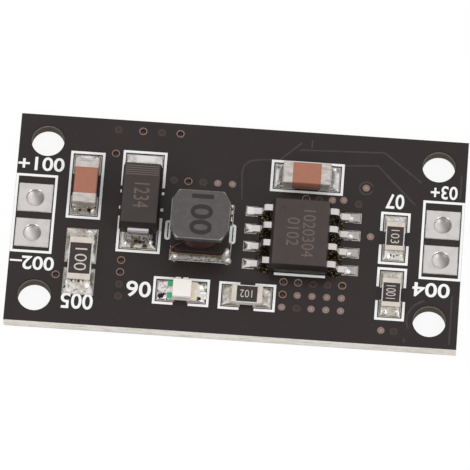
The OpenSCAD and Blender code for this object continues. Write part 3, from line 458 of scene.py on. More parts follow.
def strip_solder_finish():
    """Greyish solder of the coil's strips, golden-brown right at the core."""
    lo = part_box("coil_terminals")[0]
    f = Finish("strip_solder", lighter(settings().metal.solder, 0.72), 0.3, 1.0)
    f.mottle(0.14, 3.0, 0.50, 0.62, 0.8, (0.17, 0.135, 0.10))
    amber = f.band("Y", lo.y - 0.16 * MM, lo.y - 0.02 * MM, 0.0, 0.85)
    f.paint(amber, (0.23, 0.145, 0.06))
    f.gloss(0.2, 3.0, 0.2, 0.4)
    f.uneven(0.16, 2.0, 0.008)
    return f.material


def flux_finish():
    """Dark burnt flux with golden specks."""
    f = Finish("burnt_flux", (0.007, 0.0045, 0.0035), 0.16)
    f.set(Specular_IOR_Level=0.08)
    specks = f.ramp(f.grain(0.09, 2.0), 0.57, 0.66, 0.0, 0.9)
    f.paint(specks, (0.42, 0.30, 0.14))
    f.gloss(0.2, 2.0, 0.1, 0.25)
    f.uneven(0.10, 2.0, 0.010)
    return f.material


def chip_solder_finish():
    """Solder painted dark and less metallic behind the chip's feet, with golden specks there."""
    lo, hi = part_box("charger_chip_leads")
    f = Finish("chip_solder_melt", settings().metal.solder, 0.2, 1.0)
    f.mottle(0.3, 2.0, 0.5, 0.68, 0.6, lighter(settings().metal.solder, 0.5))
    heel = f.ramp(f.share("X", (lo.x + hi.x) / 2, (hi.x - lo.x) / 2), 0.80, 0.86, 1.0, 0.0)
    f.paint(heel, (0.022, 0.014, 0.009))
    sparkle = f.ramp(f.grain(0.10, 2.0), 0.58, 0.66)
    f.paint(f.times(heel, sparkle), (0.50, 0.40, 0.24))
    ragged = f.plus(f.along("X"), f.times(f.grain(0.2, 2.0), 0.3 * MM))
    outer = f.ramp(ragged, hi.x + 0.18 * MM, hi.x + 0.26 * MM, 0.0, 0.8)
    f.paint(outer, (0.38, 0.345, 0.335))
    f.set(Metallic=f.minus(1.0, f.times(heel, 0.6)))
    f.gloss(0.3, 3.0, 0.18, 0.32)
    f.uneven(0.15, 2.0, 0.006)
    return f.material


def copper_finish():
    colour = settings().metal.copper
    f = Finish("via_copper", colour, 0.42, 0.15)
    f.mottle(0.12, 3.0, 0.45, 0.7, 0.7, lighter(colour, 0.5))
    # Painted shade: the inside of each via barrel is painted near-black below the top
    low = f.band("Z", BOARD_TOP - 0.12 * MM, BOARD_TOP - 0.02 * MM, 0.0, 1.0)
    f.paint(f.minus(1.0, low), (0.006, 0.003, 0.003))
    f.set(Specular_IOR_Level=0.2)
    f.uneven(0.08, 2.0, 0.004)
    return f.material


def relief_finish(name, low_colour, painted_highlight_colour, top):
    """Thin varnished relief on the board, painted paler as it gets higher: painted highlight on
    the tops of plugs, rims and rings.
    """
    f = Finish(name, low_colour, 0.3, 0.1)
    # Painted highlight: the higher part of the relief is painted paler
    f.paint(f.band("Z", BOARD_TOP + 0.35 * top, BOARD_TOP + top), painted_highlight_colour)
    f.mottle(0.12, 2.0, 0.48, 0.72, 0.5, low_colour)
    f.uneven(0.1, 2.0, 0.003)
    return f.material


def track_finish():
    """Mask painted a little paler over the edge of a track, as painted highlight."""
    mask = settings().board.mask
    # Painted highlight: the mask over a track's edge is a paler copy of the mask
    return simple_finish("mask_on_track", lighter(mask, 1.75), 0.3,
                         (0.5, 2.0, 0.4, 0.7, 1.0, lighter(mask, 1.1)), (0.1, 2.0, 0.001))


def capacitor_finish():
    colour = settings().part.ceramic
    f = Finish("brown_ceramic", colour, 0.42)
    f.mottle(0.35, 4.0, 0.42, 0.66, 0.3, lighter(colour, 0.8), 0.6)
    f.mottle(0.045, 2.0, 0.62, 0.72, 0.5, lighter(colour, 0.5))
    # Painted shade: the ceramic is painted darker towards the board
    foot = f.band("Z", LAND_TOP, LAND_TOP + 1.15 * MM, 0.92, 0.0)
    f.paint(foot, lighter(colour, 0.22))
    f.uneven(0.05, 3.0, 0.003)
    return f.material


def terminal_finish():
    """Baked silver under dull tin, grainy."""
    f = Finish("baked_terminal", (0.66, 0.61, 0.57), 0.5, 0.75)
    f.mottle(0.45, 3.0, 0.42, 0.68, 0.6, (0.50, 0.44, 0.40), 0.6)
    streaks = f.grain(0.22, 2.0, 0.5, f.stretched((0.22, 1.3, 0.6)))
    f.paint(f.ramp(streaks, 0.52, 0.66, 0.0, 0.55), (0.36, 0.32, 0.30))
    f.gloss(0.2, 3.0, 0.42, 0.6)
    f.uneven(0.06, 4.0, 0.006, 0.65)
    return f.material


def moulding_finish(name, tone, speckle, node):
    """Moulding compound with its pale filler grains, and painted shade down the sides."""
    colour = lighter(settings().part.moulding, tone)
    f = Finish(name, colour, 0.50)
    f.set(Specular_IOR_Level=0.35)
    f.mottle(1.4, 2.0, 0.4, 0.7, 0.4, lighter(colour, 1.3))
    f.mottle(0.04, 2.0, 0.62, 0.74, speckle, (0.16, 0.14, 0.13), 0.6)
    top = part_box(node)[1].z
    # Painted shade: the sides are painted darker below the top face
    f.paint(f.band("Z", top - 0.14 * MM, top - 0.03 * MM, 0.8, 0.0), lighter(colour, 0.2))
    f.gloss(0.3, 3.0, 0.42, 0.56)
    f.uneven(0.045, 3.0, 0.003, 0.6)
    return f.material


def ferrite_finish():
    """Ferrite whose edges are worn paler, in grains, with painted shade down its sides and on its
    lower flange.
    """
    colour = settings().part.ferrite
    lo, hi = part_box("coil_core")
    middle, half = (lo + hi) / 2, (hi - lo) / 2
    f = Finish("ferrite", colour, 0.46, 0.1)
    f.set(Specular_IOR_Level=0.4)
    f.mottle(0.5, 4.0, 0.42, 0.68, 0.7, lighter(colour, 1.35), 0.65)
    f.mottle(0.05, 2.0, 0.6, 0.7, 0.6, lighter(colour, 2.2))
    wide = f.share("X", middle.x, half.x)
    long = f.share("Y", middle.y, half.y)
    corner = f.plus(f.times(wide, 0.64), f.times(long, 0.69))
    corner = calc(f.tree, "DIVIDE", corner, 1.15)
    outline = calc(f.tree, "MAXIMUM", calc(f.tree, "MAXIMUM", wide, long), corner)
    worn = f.ramp(f.plus(outline, f.times(f.grain(0.16, 3.0), 0.05)),
                  0.99, 1.025, 0.0, 0.7)
    f.paint(worn, (0.30, 0.28, 0.275))
    rim = f.ramp(corner, 0.975, 0.995, 0.0, 0.8)
    near = f.band("Y", middle.y - 0.6 * MM, middle.y - 0.3 * MM, 1.0, 0.0)
    f.paint(f.times(rim, near), (0.42, 0.39, 0.38))
    # Painted shade: the flange's sides are painted darker below its top
    side = f.band("Z", hi.z - 0.13 * MM, hi.z - 0.05 * MM, 0.85, 0.0)
    f.paint(side, (0.032, 0.028, 0.029))
    # The lower flange is painted dark: painted shade, with flux on it too
    foot = f.band("Z", LAND_TOP + 0.80 * MM, LAND_TOP + 1.6 * MM, 0.9, 0.0)
    f.paint(foot, (0.022, 0.014, 0.012))
    f.gloss(0.15, 3.0, 0.38, 0.56)
    f.uneven(0.06, 4.0, 0.006, 0.65)
    return f.material


def wire_finish():
    colour = settings().part.wire
    f = Finish("enamelled_wire", colour, 0.3, 0.4)
    f.mottle(0.6, 2.0, 0.4, 0.7, 1.0, lighter(colour, 0.5))
    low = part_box("coil_winding")[0].z
    # Painted shade: the foot of the winding is painted near-black
    f.paint(f.band("Z", low - 0.02 * MM, low + 0.06 * MM), (0.040, 0.014, 0.012))
    f.uneven(0.1, 2.0, 0.004)
    return f.material


def print_finish(name, colour):
    """Thin print on a moulded part."""
    return simple_finish(name, colour, 0.5, (0.07, 2.0, 0.5, 0.7, 0.6, lighter(colour, 0.7)),
                         (0.05, 2.0, 0.002))


def lens_finish():
    f = Finish("milky_lens", (0.92, 0.875, 0.82), 0.22)
    f.mottle(0.6, 2.0, 0.4, 0.7, 0.6, (0.90, 0.87, 0.82))
    f.set(Subsurface_Weight=0.35, Subsurface_Scale=0.3 * MM, Coat_Weight=0.4, Coat_Roughness=0.1)
    f.uneven(0.2, 2.0, 0.004)
    return f.material


def lamp_terminal_finish():
    """Tinned ends of the lamp; cream flux covers the right one."""
    middle = sum(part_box("led_lens"), Vector()) / 2
    f = Finish("lamp_tin", settings().metal.tin, 0.25, 1.0)
    f.mottle(0.3, 2.0, 0.45, 0.65, 0.5, (0.42, 0.33, 0.36))
    cream = f.times(f.band("X", middle.x, middle.x + 0.1 * MM),
                     f.ramp(f.grain(0.12, 3.0), 0.36, 0.46))
    f.paint(cream, (0.80, 0.70, 0.52))
    f.set(Metallic=f.minus(1.0, cream))
    f.uneven(0.12, 3.0, 0.012)
    return f.material


def floor_finish():
    """White paper floor: pure white to the camera and to mirrors, but it keeps the shadow."""
    material = bpy.data.materials.new("white_floor")
    material.use_nodes = True
    tree = material.node_tree
    tree.nodes.clear()
    rays = add_node(tree, "ShaderNodeLightPath").outputs
    seen = calc(tree, "MAXIMUM", rays["Is Camera Ray"], rays["Is Glossy Ray"])
    seen = calc(tree, "MAXIMUM", seen, rays["Is Transmission Ray"])
    paper = add_node(tree, "ShaderNodeBsdfDiffuse", {"Color": (0.92, 0.92, 0.92, 1.0)})
    white = add_node(tree, "ShaderNodeEmission", {"Strength": 1.03})
    mix = add_node(tree, "ShaderNodeMixShader", {
        "Fac": calc(tree, "MULTIPLY", seen, 0.85), 1: paper.outputs[0], 2: white.outputs[0]})
    add_node(tree, "ShaderNodeOutputMaterial", {"Surface": mix.outputs[0]})
    return material


# Modelling helpers


def new_object(name, bm, material):
    """Links a bmesh to the scene as an object of one material."""
    mesh = bpy.data.meshes.new(name)
    bm.to_mesh(mesh)
    bm.free()
    mesh.materials.append(material)
    made = bpy.data.objects.new(name, mesh)
    bpy.context.scene.collection.objects.link(made)
    return made


def finish_piece(name, bm, material, smooth=True):
    """Turns a bmesh into a piece that rides on the board."""
    piece = new_object(name, bm, material)
    if smooth:
        piece.data.shade_smooth()
    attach(piece, "root")
    return piece


def dress(node_names, material):
    """Gives CAD nodes a finish."""
    for name in node_names:
        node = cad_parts[name]
        node.data.materials.clear()
        node.data.materials.append(material)


def soften(node_names, radius, angle=35.0):
    """Rounds the edges of CAD nodes with modifiers that leave their own meshes alone."""
    for name in node_names:
        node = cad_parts[name]
        weld = node.modifiers.new("join_faces", "WELD")
        weld.merge_threshold = 0.0005 * MM
        bevel = node.modifiers.new("round_edges", "BEVEL")
        bevel.width = radius
        bevel.segments = 3
        bevel.limit_method = "ANGLE"
        bevel.angle_limit = math.radians(angle)
        bevel.miter_outer = "MITER_ARC"
        normals = node.modifiers.new("even_faces", "WEIGHTED_NORMAL")
        normals.weight = 100


def nodes_like(*endings):
    return [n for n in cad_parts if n.endswith(endings)]


def corner_lumps(land, foot, seed, lump):
    """Round lumps at the two outer corners of a land: place and height."""
    (x0, y0), (x1, y1) = land
    (fx0, fy0), (fx1, fy1) = foot
    inset = 0.24 * MM
    xs, ys = (x0 + inset, x1 - inset), (y0 + inset, y1 - inset)
    runs = (fx0 - x0, x1 - fx1, fy0 - y0, y1 - fy1)
    side = runs.index(max(runs))
    places = [(xs[side], y) for y in ys] if side < 2 else [(x, ys[side - 2]) for x in xs]
    return [(x, y, lump * (1.0 + 0.7 * math.sin(seed + 2.0 * i)))
            for i, (x, y) in enumerate(places)]


def sheet(bm, x0, y0, x1, y1, step):
    """Adds a flat grid; gives its vertices and faces."""
    made = bmesh.ops.create_grid(bm, x_segments=max(8, round((x1 - x0) / step)),
                                 y_segments=max(8, round((y1 - y0) / step)), size=0.5)["verts"]
    bmesh.ops.scale(bm, vec=(x1 - x0, y1 - y0, 1.0), verts=made)
    bmesh.ops.translate(bm, vec=((x0 + x1) / 2, (y0 + y1) / 2, 0.0), verts=made)
    return made, {f for v in made for f in v.link_faces}


def film(bm, x0, y0, x1, y1, height, seed):
    """Adds a thin uneven film on the mask, with a ragged outline."""
    made, faces = sheet(bm, x0, y0, x1, y1, 0.05 * MM)
    for v in made:
        edge = min(v.co.x - x0, x1 - v.co.x, v.co.y - y0, y1 - v.co.y) / (0.22 * MM)
        uneven = noise.noise(Vector((v.co.x, v.co.y, seed * MM)) / (0.28 * MM))
        level = min(1.0, edge) - 0.45 + 0.9 * uneven
        v.co.z = BOARD_TOP + height * max(-0.4, min(1.0, level))
    close_below(bm, faces, BOARD_TOP - 0.6 * height)


def away_from(value, low, high, start, end):
    """How far a value lies past start..end: as a share of the run to low or high, and the run."""
    least = 0.05 * MM
    return max(((start - value) / max(start - low, least), start - low),
               ((value - end) / max(high - end, least), high - end), (0.0, 0.0))


def mound(bm, land, foot, height, seed, hollow, lump):
    """Adds one hump of solder over a land, high against the part's foot and thin at its rim."""
    (x0, y0), (x1, y1) = land
    (fx0, fy0), (fx1, fy1) = foot
    top, faces = sheet(bm, x0, y0, x1, y1, 0.04 * MM)
    rim, spread, skin, lumps = 0.12 * MM, 0.17 * MM, 0.045 * MM, settings().metal.solder_lumps
    corners = corner_lumps(land, foot, seed, lump)
    for v in top:
        x, y = v.co.x, v.co.y
        across, run_x = away_from(x, x0, x1, fx0, fx1)
        ahead, run_y = away_from(y, y0, y1, fy0, fy1)
        climb = max(0.0, 1.0 - math.hypot(across, ahead))
        reach = height
        if across + ahead > 0:
            run = (across * run_x + ahead * run_y) / (across + ahead)
            reach = min(reach, 1.15 * run)
        edge = min(x - x0, x1 - x, y - y0, y1 - y)
        border = min(1.0, max(0.0, edge / rim))
        border = math.sqrt(border * (2.0 - border))
        wobble = noise.noise(Vector((x, y, seed * MM)) / (0.7 * MM))
        base = skin + lumps * wobble
        hump = reach * climb ** hollow
        for cx, cy, share in corners:
            hump += share * math.exp(-((x - cx) ** 2 + (y - cy) ** 2) / spread ** 2)
        v.co.z = LAND_TOP + 0.004 * MM + border * max(0.015 * MM, base + hump)
    close_below(bm, faces, LAND_TOP - 0.01 * MM)


def close_below(bm, faces, height):
    """Gives a sheet a wall round its rim and a flat bottom."""
    rim_edges = [e for e in {e for f in faces for e in f.edges} if len(e.link_faces) == 1]
    wall = bmesh.ops.extrude_edge_only(bm, edges=rim_edges)
    low = {g for g in wall["geom"] if isinstance(g, bmesh.types.BMVert)}
    for v in low:
        v.co.z = height
    bottom = [g for g in wall["geom"] if isinstance(g, bmesh.types.BMEdge)
              and all(v in low for v in g.verts)]
    bmesh.ops.contextual_create(bm, geom=bottom)


def blobs(name, places, turn, material_name):
    """Rounded lumps of solder on the lands, as one piece."""
    bm = bmesh.new()
    for i, (x, y, width, length, height) in enumerate(places):
        made = bmesh.ops.create_uvsphere(bm, u_segments=28, v_segments=16, radius=1.0)["verts"]
        for v in made:
            ripple = 1.0 + 0.16 * noise.noise(1.7 * v.co + Vector((i * turn, 0.0, 0.0)))
            v.co = Vector((x * MM + v.co.x * ripple * (width * MM) / 2,
                           y * MM + v.co.y * ripple * (length * MM) / 2,
                           LAND_TOP + max(0.0, v.co.z * ripple * (height * MM))))
    finish_piece(name, bm, lump_finish(material_name))


def lathe(bm, x, y, profile, sides=24):
    """Adds a turned body about an upright axis from a closed outline of (radius, height)."""
    verts = [bm.verts.new((x + r, y, z)) for r, z in profile]
    edges = [bm.edges.new(pair) for pair in zip(verts, verts[1:] + verts[:1])
             if any(abs(v.co.x - x) > 1e-9 for v in pair)]
    bmesh.ops.spin(bm, geom=verts + edges, cent=(x, y, 0.0), axis=(0.0, 0.0, 1.0),
                   angle=2 * math.pi, steps=sides, use_merge=True)


def sweep(bm, loops):
    """Joins closed loops of edges, one after another, and closes both ends."""
    for first, second in zip(loops, loops[1:]):
        bmesh.ops.bridge_loops(bm, edges=first + second)
    for end in (loops[0], loops[-1]):
        bmesh.ops.contextual_create(bm, geom=end)


def ribbon(bm, path, half, slope, low, high):
    """Adds a raised strip with sloped sides along a plan path."""
    points = [Vector((px * MM, py * MM)) for px, py in path]
    loops = []
    for i, point in enumerate(points):
        after = (points[min(i + 1, len(points) - 1)] - point)
        before = (point - points[max(i - 1, 0)])
        before = (before if before.length > 0 else after).normalized()
        after = (after if after.length > 0 else before).normalized()
        along = (before + after).normalized()
        across = Vector((-along.y, along.x)) / max(0.5, along.dot(before))
        corners = [bm.verts.new((*(point + across * reach), z)) for reach, z in (
            (half + slope, low), (half, high), (-half, high), (-half - slope, low))]
        loops.append([bm.edges.new(pair) for pair in zip(corners, corners[1:] + corners[:1])])
    sweep(bm, loops)


def slab(bm, x0, y0, x1, y1, z0, z1):
    """Adds a box."""
    made = bmesh.ops.create_cube(bm, size=1.0)["verts"]
    bmesh.ops.scale(bm, vec=(x1 - x0, y1 - y0, z1 - z0), verts=made)
    bmesh.ops.translate(bm, vec=((x0 + x1) / 2, (y0 + y1) / 2, (z0 + z1) / 2), verts=made)


def islands(node):
    """Plan boxes of a CAD node's separate solids, ordered by x, then y."""
    bm = bmesh.new()
    bm.from_mesh(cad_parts[node].data)
    bmesh.ops.remove_doubles(bm, verts=bm.verts, dist=0.0005 * MM)
    left = set(bm.verts)
    boxes = []
    while left:
        stack = [left.pop()]
        group = list(stack)
        while stack:
            for e in stack.pop().link_edges:
                for w in e.verts:
                    if w in left:
                        left.remove(w)
                        stack.append(w)
                        group.append(w)
        xs = [v.co.x for v in group]
        ys = [v.co.y for v in group]
        boxes.append(((min(xs), min(ys)), (max(xs), max(ys))))
    bm.free()
    return sorted(boxes)


def smooth_path(points, steps):
    """Points of a smooth curve through the given ones."""
    ends = [2 * points[0] - points[1]] + points + [2 * points[-1] - points[-2]]
    path = []
    for a, b, c, d in zip(ends, ends[1:], ends[2:], ends[3:]):
        for i in range(steps):
            t = i / steps
            path.append(0.5 * (2 * b + (c - a) * t + (2 * a - 5 * b + 4 * c - d) * t * t
                               + (3 * b - a - 3 * c + d) * t ** 3))
    return path + [points[-1]]


def tube(path, radius, sides):
    """Round wire along a path, closed at both ends."""
    bm = bmesh.new()
    loops = []
    for i, centre in enumerate(path):
        ahead = path[min(i + 1, len(path) - 1)] - path[max(i - 1, 0)]
        turn = ahead.to_track_quat("Z", "Y").to_matrix().to_4x4()
        ring = bmesh.ops.create_circle(bm, segments=sides, radius=radius,
                                       matrix=Matrix.Translation(centre) @ turn)["verts"]
        loops.append(list({e for v in ring for e in v.link_edges}))
    sweep(bm, loops)
    bmesh.ops.recalc_face_normals(bm, faces=bm.faces)
    return bm


# Operators


PLUG_HEAD = [(0.0, 0.072), (0.04, 0.066), (0.08, 0.040), (0.11, 0.024), (0.15, 0.036),
             (0.19, 0.046), (0.23, 0.034), (0.27, 0.0), (0.27, -0.01), (0.0, -0.01)]
OPEN_RIM = [(0.175, -0.01), (0.175, 0.002), (0.205, 0.012), (0.235, 0.030), (0.262, 0.028),
            (0.285, 0.0), (0.285, -0.01)]
COVERED_RIM = [(0.0, 0.002), (0.09, 0.003), (0.15, 0.009), (0.21, 0.013), (0.26, 0.010),
               (0.30, 0.001), (0.30, -0.01), (0.0, -0.01)]


class BOARD_OT_base(bpy.types.Operator):
    """Finishes of the laminate, the masks, the lands and the vias"""

    bl_idname = "board.base"
    bl_label = "Bare board"

    def execute(self, context):
        dress(["laminate_board"], laminate_finish())
        dress(["solder_mask_top", "solder_mask_bottom"], mask_finish())
        dress(["silkscreen"], ink_finish())
        dress(nodes_like("_pad"), tin_finish("tinned_pad", 0.30, 0.010))
        dress(["component_lands"], tin_finish("tinned_land", 0.28, 0.006))
        dress(["open_vias", "covered_vias"], copper_finish())
        dress(["wire_hole_solder"], dish_finish())
        plug = relief_finish("via_plug", (0.135, 0.080, 0.072), (0.40, 0.29, 0.26), 0.06 * MM)
        dress(["plugged_vias"], plug)
        rim = relief_finish("via_rim", (0.050, 0.022, 0.018), (0.36, 0.22, 0.17), 0.03 * MM)
        over = relief_finish("mask_on_ring", (0.026, 0.013, 0.012), (0.042, 0.025, 0.022),
                             0.012 * MM)
        for name, node, profile, finish, slot_name in (
                ("plug_heads", "plugged_vias", PLUG_HEAD, plug, "via_plug"),
                ("via_rims", "open_vias", OPEN_RIM, rim, "via_copper"),
                ("covered_rings", "covered_vias", COVERED_RIM, over, "solder_mask")):
            bm = bmesh.new()
            for (x0, y0), (x1, y1) in islands(node):
                lathe(bm, (x0 + x1) / 2, (y0 + y1) / 2,
                      [(r * MM, BOARD_TOP + z * MM) for r, z in profile])
            bmesh.ops.remove_doubles(bm, verts=bm.verts, dist=0.001 * MM)
            bmesh.ops.recalc_face_normals(bm, faces=bm.faces)
            finish_piece(name, bm, finish)
        return {"FINISHED"}


def arc(x, y, radius, first, last):
    """Plan points of an arc in mm, between two angles in degrees."""
    steps = 24
    turns = [math.radians(first + (last - first) * k / steps) for k in range(steps + 1)]
    return [(x + radius * math.cos(a), y + radius * math.sin(a)) for a in turns]


TRACKS = [
    [(0.14, 2.23), (0.0, 4.27), (0.12, 4.75), (0.47, 5.11), (1.1, 5.25), (1.93, 5.3)],
    [(2.47, 5.33), (3.85, 6.69)],
    [(4.55, 6.34), (4.55, 6.96)],
    [(3.75, 6.16), (9.44, 6.36), (12.0, 4.36)],
    [(6.83, 5.22), (9.03, 5.38), (11.66, 2.72)],
    [(14.65, 3.3), (14.65, 5.1)],
    [(14.5, -3.7), (14.5, -7.2)],
    [(11.5, -6.95), (11.5, -7.25)],
    arc(8.35, 3.7, 0.45, 20, 340),
    arc(13.1, -5.6, 1.5, 105, 205),
]


class BOARD_OT_tracks(bpy.types.Operator):
    """Covered tracks that stand a little out of the mask"""

    bl_idname = "board.tracks"
    bl_label = "Covered tracks"

    def execute(self, context):
        height = settings().board.relief
        bm = bmesh.new()
        for path in TRACKS:
            ribbon(bm, path, 0.045 * MM, 0.03 * MM, BOARD_TOP - 0.01 * MM, BOARD_TOP + height)
        bmesh.ops.recalc_face_normals(bm, faces=bm.faces)
        finish_piece("covered_tracks", bm, track_finish(), smooth=False)
        return {"FINISHED"}


SIGNS = [
    ("001+", -13.42, 3.93, 0.97, 1.12),
    ("002\u2013", -13.42, -3.28, 0.95, 1.1),
    ("03+", 13.54, 3.80, 0.95, 0.88),
    ("004", 13.09, -3.30, 1.0, 1.2),
    ("005", -10.28, -5.80, 1.1, 0.96),
    ("06", -6.24, -4.64, 1.1, 1.1),
    ("07", 10.34, 2.92, 1.05, 0.84),
]
VALUES = [
    ("100", "sense_resistor_coat", -90.0, 0.84, 1.08, (0.0, 0.02)),
    ("102", "led_resistor_coat", 180.0, 0.56, 0.82, (0.0, 0.03)),
    ("103", "upper_resistor_coat", -90.0, 0.58, 0.98, (-0.03, 0.0)),
    ("1001", "lower_resistor_coat", 90.0, 0.66, 0.65, (0.0, 0.0)),
]
PRINTS = [
    ("1020304", "charger_chip_body", -90.0, 0.84, 0.88, (0.52, 0.0)),
    ("0102", "charger_chip_body", -90.0, 0.84, 0.88, (-0.52, 0.0)),
    ("1234", "diode_body", -90.0, 1.05, 0.68, (0.0, -0.12)),
]


def write(bm, text, x, y, z, turn, height, thickness, squeeze, weight):
    """Adds a flat text, centred on x, y and standing on z."""
    font = bpy.data.curves.new("sign", "FONT")
    font.body = text
    font.size = height * 1.4
    font.align_x = font.align_y = "CENTER"
    font.extrude = thickness / 2
    font.offset = height * weight
    font.resolution_u = 6
    holder = bpy.data.objects.new("sign", font)
    bpy.context.scene.collection.objects.link(holder)
    mesh = bpy.data.meshes.new_from_object(
        holder.evaluated_get(bpy.context.evaluated_depsgraph_get()))
    bpy.data.objects.remove(holder)
    mesh.transform(Matrix.Translation((x, y, z + thickness / 2))
                   @ Matrix.Rotation(math.radians(turn), 4, "Z")
                   @ Matrix.Diagonal((squeeze, 1.0, 1.0, 1.0)))
    bm.from_mesh(mesh)
    bpy.data.meshes.remove(mesh)


def finish_print(name, bm, material):
    """Joins the letters' edges and makes the print a piece."""
    bmesh.ops.remove_doubles(bm, verts=bm.verts, dist=0.0005 * MM)
    bmesh.ops.recalc_face_normals(bm, faces=bm.faces)
    finish_piece(name, bm, material, smooth=False)


def labels(name, entries, weight, material):
    """Short texts on top of CAD nodes, as one piece."""
    bm = bmesh.new()
    for text, node, turn, size, squeeze, (dx, dy) in entries:
        lo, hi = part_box(node)
        write(bm, text, (lo.x + hi.x) / 2 + dx * MM, (lo.y + hi.y) / 2 + dy * MM,
              hi.z, turn, size * MM, 0.006 * MM, squeeze, weight)
    finish_print(name, bm, material)


class BOARD_OT_signs(bpy.types.Operator):
    """Plain signs and numbers printed on the board and on the parts"""

    bl_idname = "board.signs"
    bl_label = "Printed signs"

    def execute(self, context):
        bm = bmesh.new()
        for text, x, y, size, squeeze in SIGNS:
            write(bm, text, x * MM, y * MM, BOARD_TOP, 180.0, size * MM, 0.02 * MM, squeeze, 0.022)
        finish_print("board_signs", bm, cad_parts["silkscreen"].data.materials[0])
        labels("value_marks", VALUES, -0.012, print_finish("ivory_print", (0.66, 0.59, 0.53)))
        labels("part_prints", PRINTS, 0.0, print_finish("tan_print", (0.13, 0.094, 0.075)))
        return {"FINISHED"}


class BOARD_OT_capacitors(bpy.types.Operator):
    """Finishes of the two ceramic capacitors"""

    bl_idname = "board.capacitors"
    bl_label = "Capacitors"

    def execute(self, context):
        dress(["input_cap_body", "output_cap_body"], capacitor_finish())
        dress(["input_cap_terminals", "output_cap_terminals"], terminal_finish())
        return {"FINISHED"}


class BOARD_OT_resistors(bpy.types.Operator):
    """Finishes of the four chip resistors"""

    bl_idname = "board.resistors"
    bl_label = "Resistors"

    def execute(self, context):
        for ending in ("resistor_base", "resistor_coat"):
            dress(nodes_like(ending), simple_finish(*PLAIN[ending]))
        terminals = nodes_like("resistor_terminals")
        dress(terminals, tin_finish("resistor_tin", 0.30, 0.015, (0.76, 0.68, 0.61)))
        soften(terminals, 0.03 * MM)
        soften(nodes_like("resistor_coat"), 0.012 * MM)
        return {"FINISHED"}


class BOARD_OT_lamp(bpy.types.Operator):
    """Finishes of the lamp"""

    bl_idname = "board.lamp"
    bl_label = "Lamp"

    def execute(self, context):
        for name in ("led_base", "led_cathode_marks"):
            dress([name], simple_finish(*PLAIN[name]))
        dress(["led_lens"], lens_finish())
        dress(["led_terminals"], lamp_terminal_finish())
        soften(["led_lens"], 0.05 * MM, 30.0)
        return {"FINISHED"}


class BOARD_OT_diode(bpy.types.Operator):
    """Finishes of the diode and its cathode lines"""

    bl_idname = "board.diode"
    bl_label = "Diode"

    def execute(self, context):
        dress(["diode_body"], moulding_finish("diode_moulding", 1.0, 0.3, "diode_body"))
        dress(["diode_leads"], tin_finish("diode_tin", 0.30, 0.006))
        soften(["diode_body"], settings().part.edge_round * 1.3, 12.0)
        lo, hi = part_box("diode_body")
        bm = bmesh.new()
        for i in range(5):
            y = hi.y - (0.32 + 0.155 * i) * MM
            slab(bm, lo.x + 0.2 * MM, y - 0.022 * MM, hi.x - 0.2 * MM, y + 0.022 * MM,
                 hi.z - 0.01 * MM, hi.z + 0.003 * MM)
        finish_piece("cathode_lines", bm, print_finish("tan_print", (0.16, 0.125, 0.105)),
                     smooth=False)
        return {"FINISHED"}


# Place, width along x, length along y and height, in mm
COIL_LUMPS = ((-0.60, -1.96, 0.60, 0.90, 1.00), (-0.48, -2.32, 0.50, 0.46, 0.46),
              (-4.02, -2.28, 0.44, 0.50, 0.46), (-0.46, 1.62, 0.2, 0.36, 0.3),
              (-0.45, 1.2, 0.18, 0.4, 0.26), (-0.45, 0.72, 0.16, 0.42, 0.2))


class BOARD_OT_coil(bpy.types.Operator):
    """Finishes of the coil"""

    bl_idname = "board.coil"
    bl_label = "Coil"

    def execute(self, context):
        dress(["coil_core"], ferrite_finish())
        dress(["coil_winding"], wire_finish())
        dress(["coil_terminals"], tin_finish("coil_tin", 0.36, 0.006))
        soften(["coil_core"], settings().part.edge_round * 1.2, 30.0)
        labels("coil_mark", [("100", "coil_core", -90.0, 1.42, 1.12, (0.0, 0.2))], 0.03,
               print_finish("dark_print", (0.016, 0.010, 0.010)))
        self.add_tail()
        blobs("coil_solder_lumps", COIL_LUMPS, 3.1, "coil_lump_tin")
        return {"FINISHED"}

    def add_tail(self):
        """End of the wire, led down from the winding to the metal at the near left corner."""
        lo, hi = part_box("coil_core")
        points = [Vector(p) * MM for p in (
            (-1.0, -1.15, 1.0), (-1.42, -1.36, 0.9), (-1.74, -1.48, 0.62), (-1.84, -1.42, 0.3))]
        middle = Vector(((lo.x + hi.x) / 2, (lo.y + hi.y) / 2, lo.z))
        path = smooth_path([middle + p for p in points], 6)
        finish_piece("coil_tail", tube(path, 0.09 * MM, 12),
                     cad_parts["coil_winding"].data.materials[0])


class BOARD_OT_chip(bpy.types.Operator):
    """Finishes of the charger chip"""

    bl_idname = "board.chip"
    bl_label = "Charger chip"

    def execute(self, context):
        dress(["charger_chip_body"],
              moulding_finish("chip_moulding", 1.3, 0.4, "charger_chip_body"))
        dress(["charger_chip_leads"], tin_finish("lead_tin", 0.24, 0.006))
        soften(["charger_chip_body"], settings().part.edge_round, 12.0)
        self.add_flux()
        return {"FINISHED"}

    def add_flux(self):
        """Burnt flux on the mask between the leads and before the near side."""
        body_lo, body_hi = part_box("charger_chip_body")
        lo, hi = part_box("charger_chip_leads")
        inside = 0.2 * MM
        bm = bmesh.new()
        for x0, x1, seed in ((lo.x + 0.25 * MM, body_lo.x + inside, 3.0),
                             (body_hi.x - inside, hi.x - 0.25 * MM, 8.0)):
            film(bm, x0, lo.y - 0.35 * MM, x1, hi.y + 0.2 * MM, 0.02 * MM, seed)
        finish_piece("burnt_flux", bm, flux_finish())


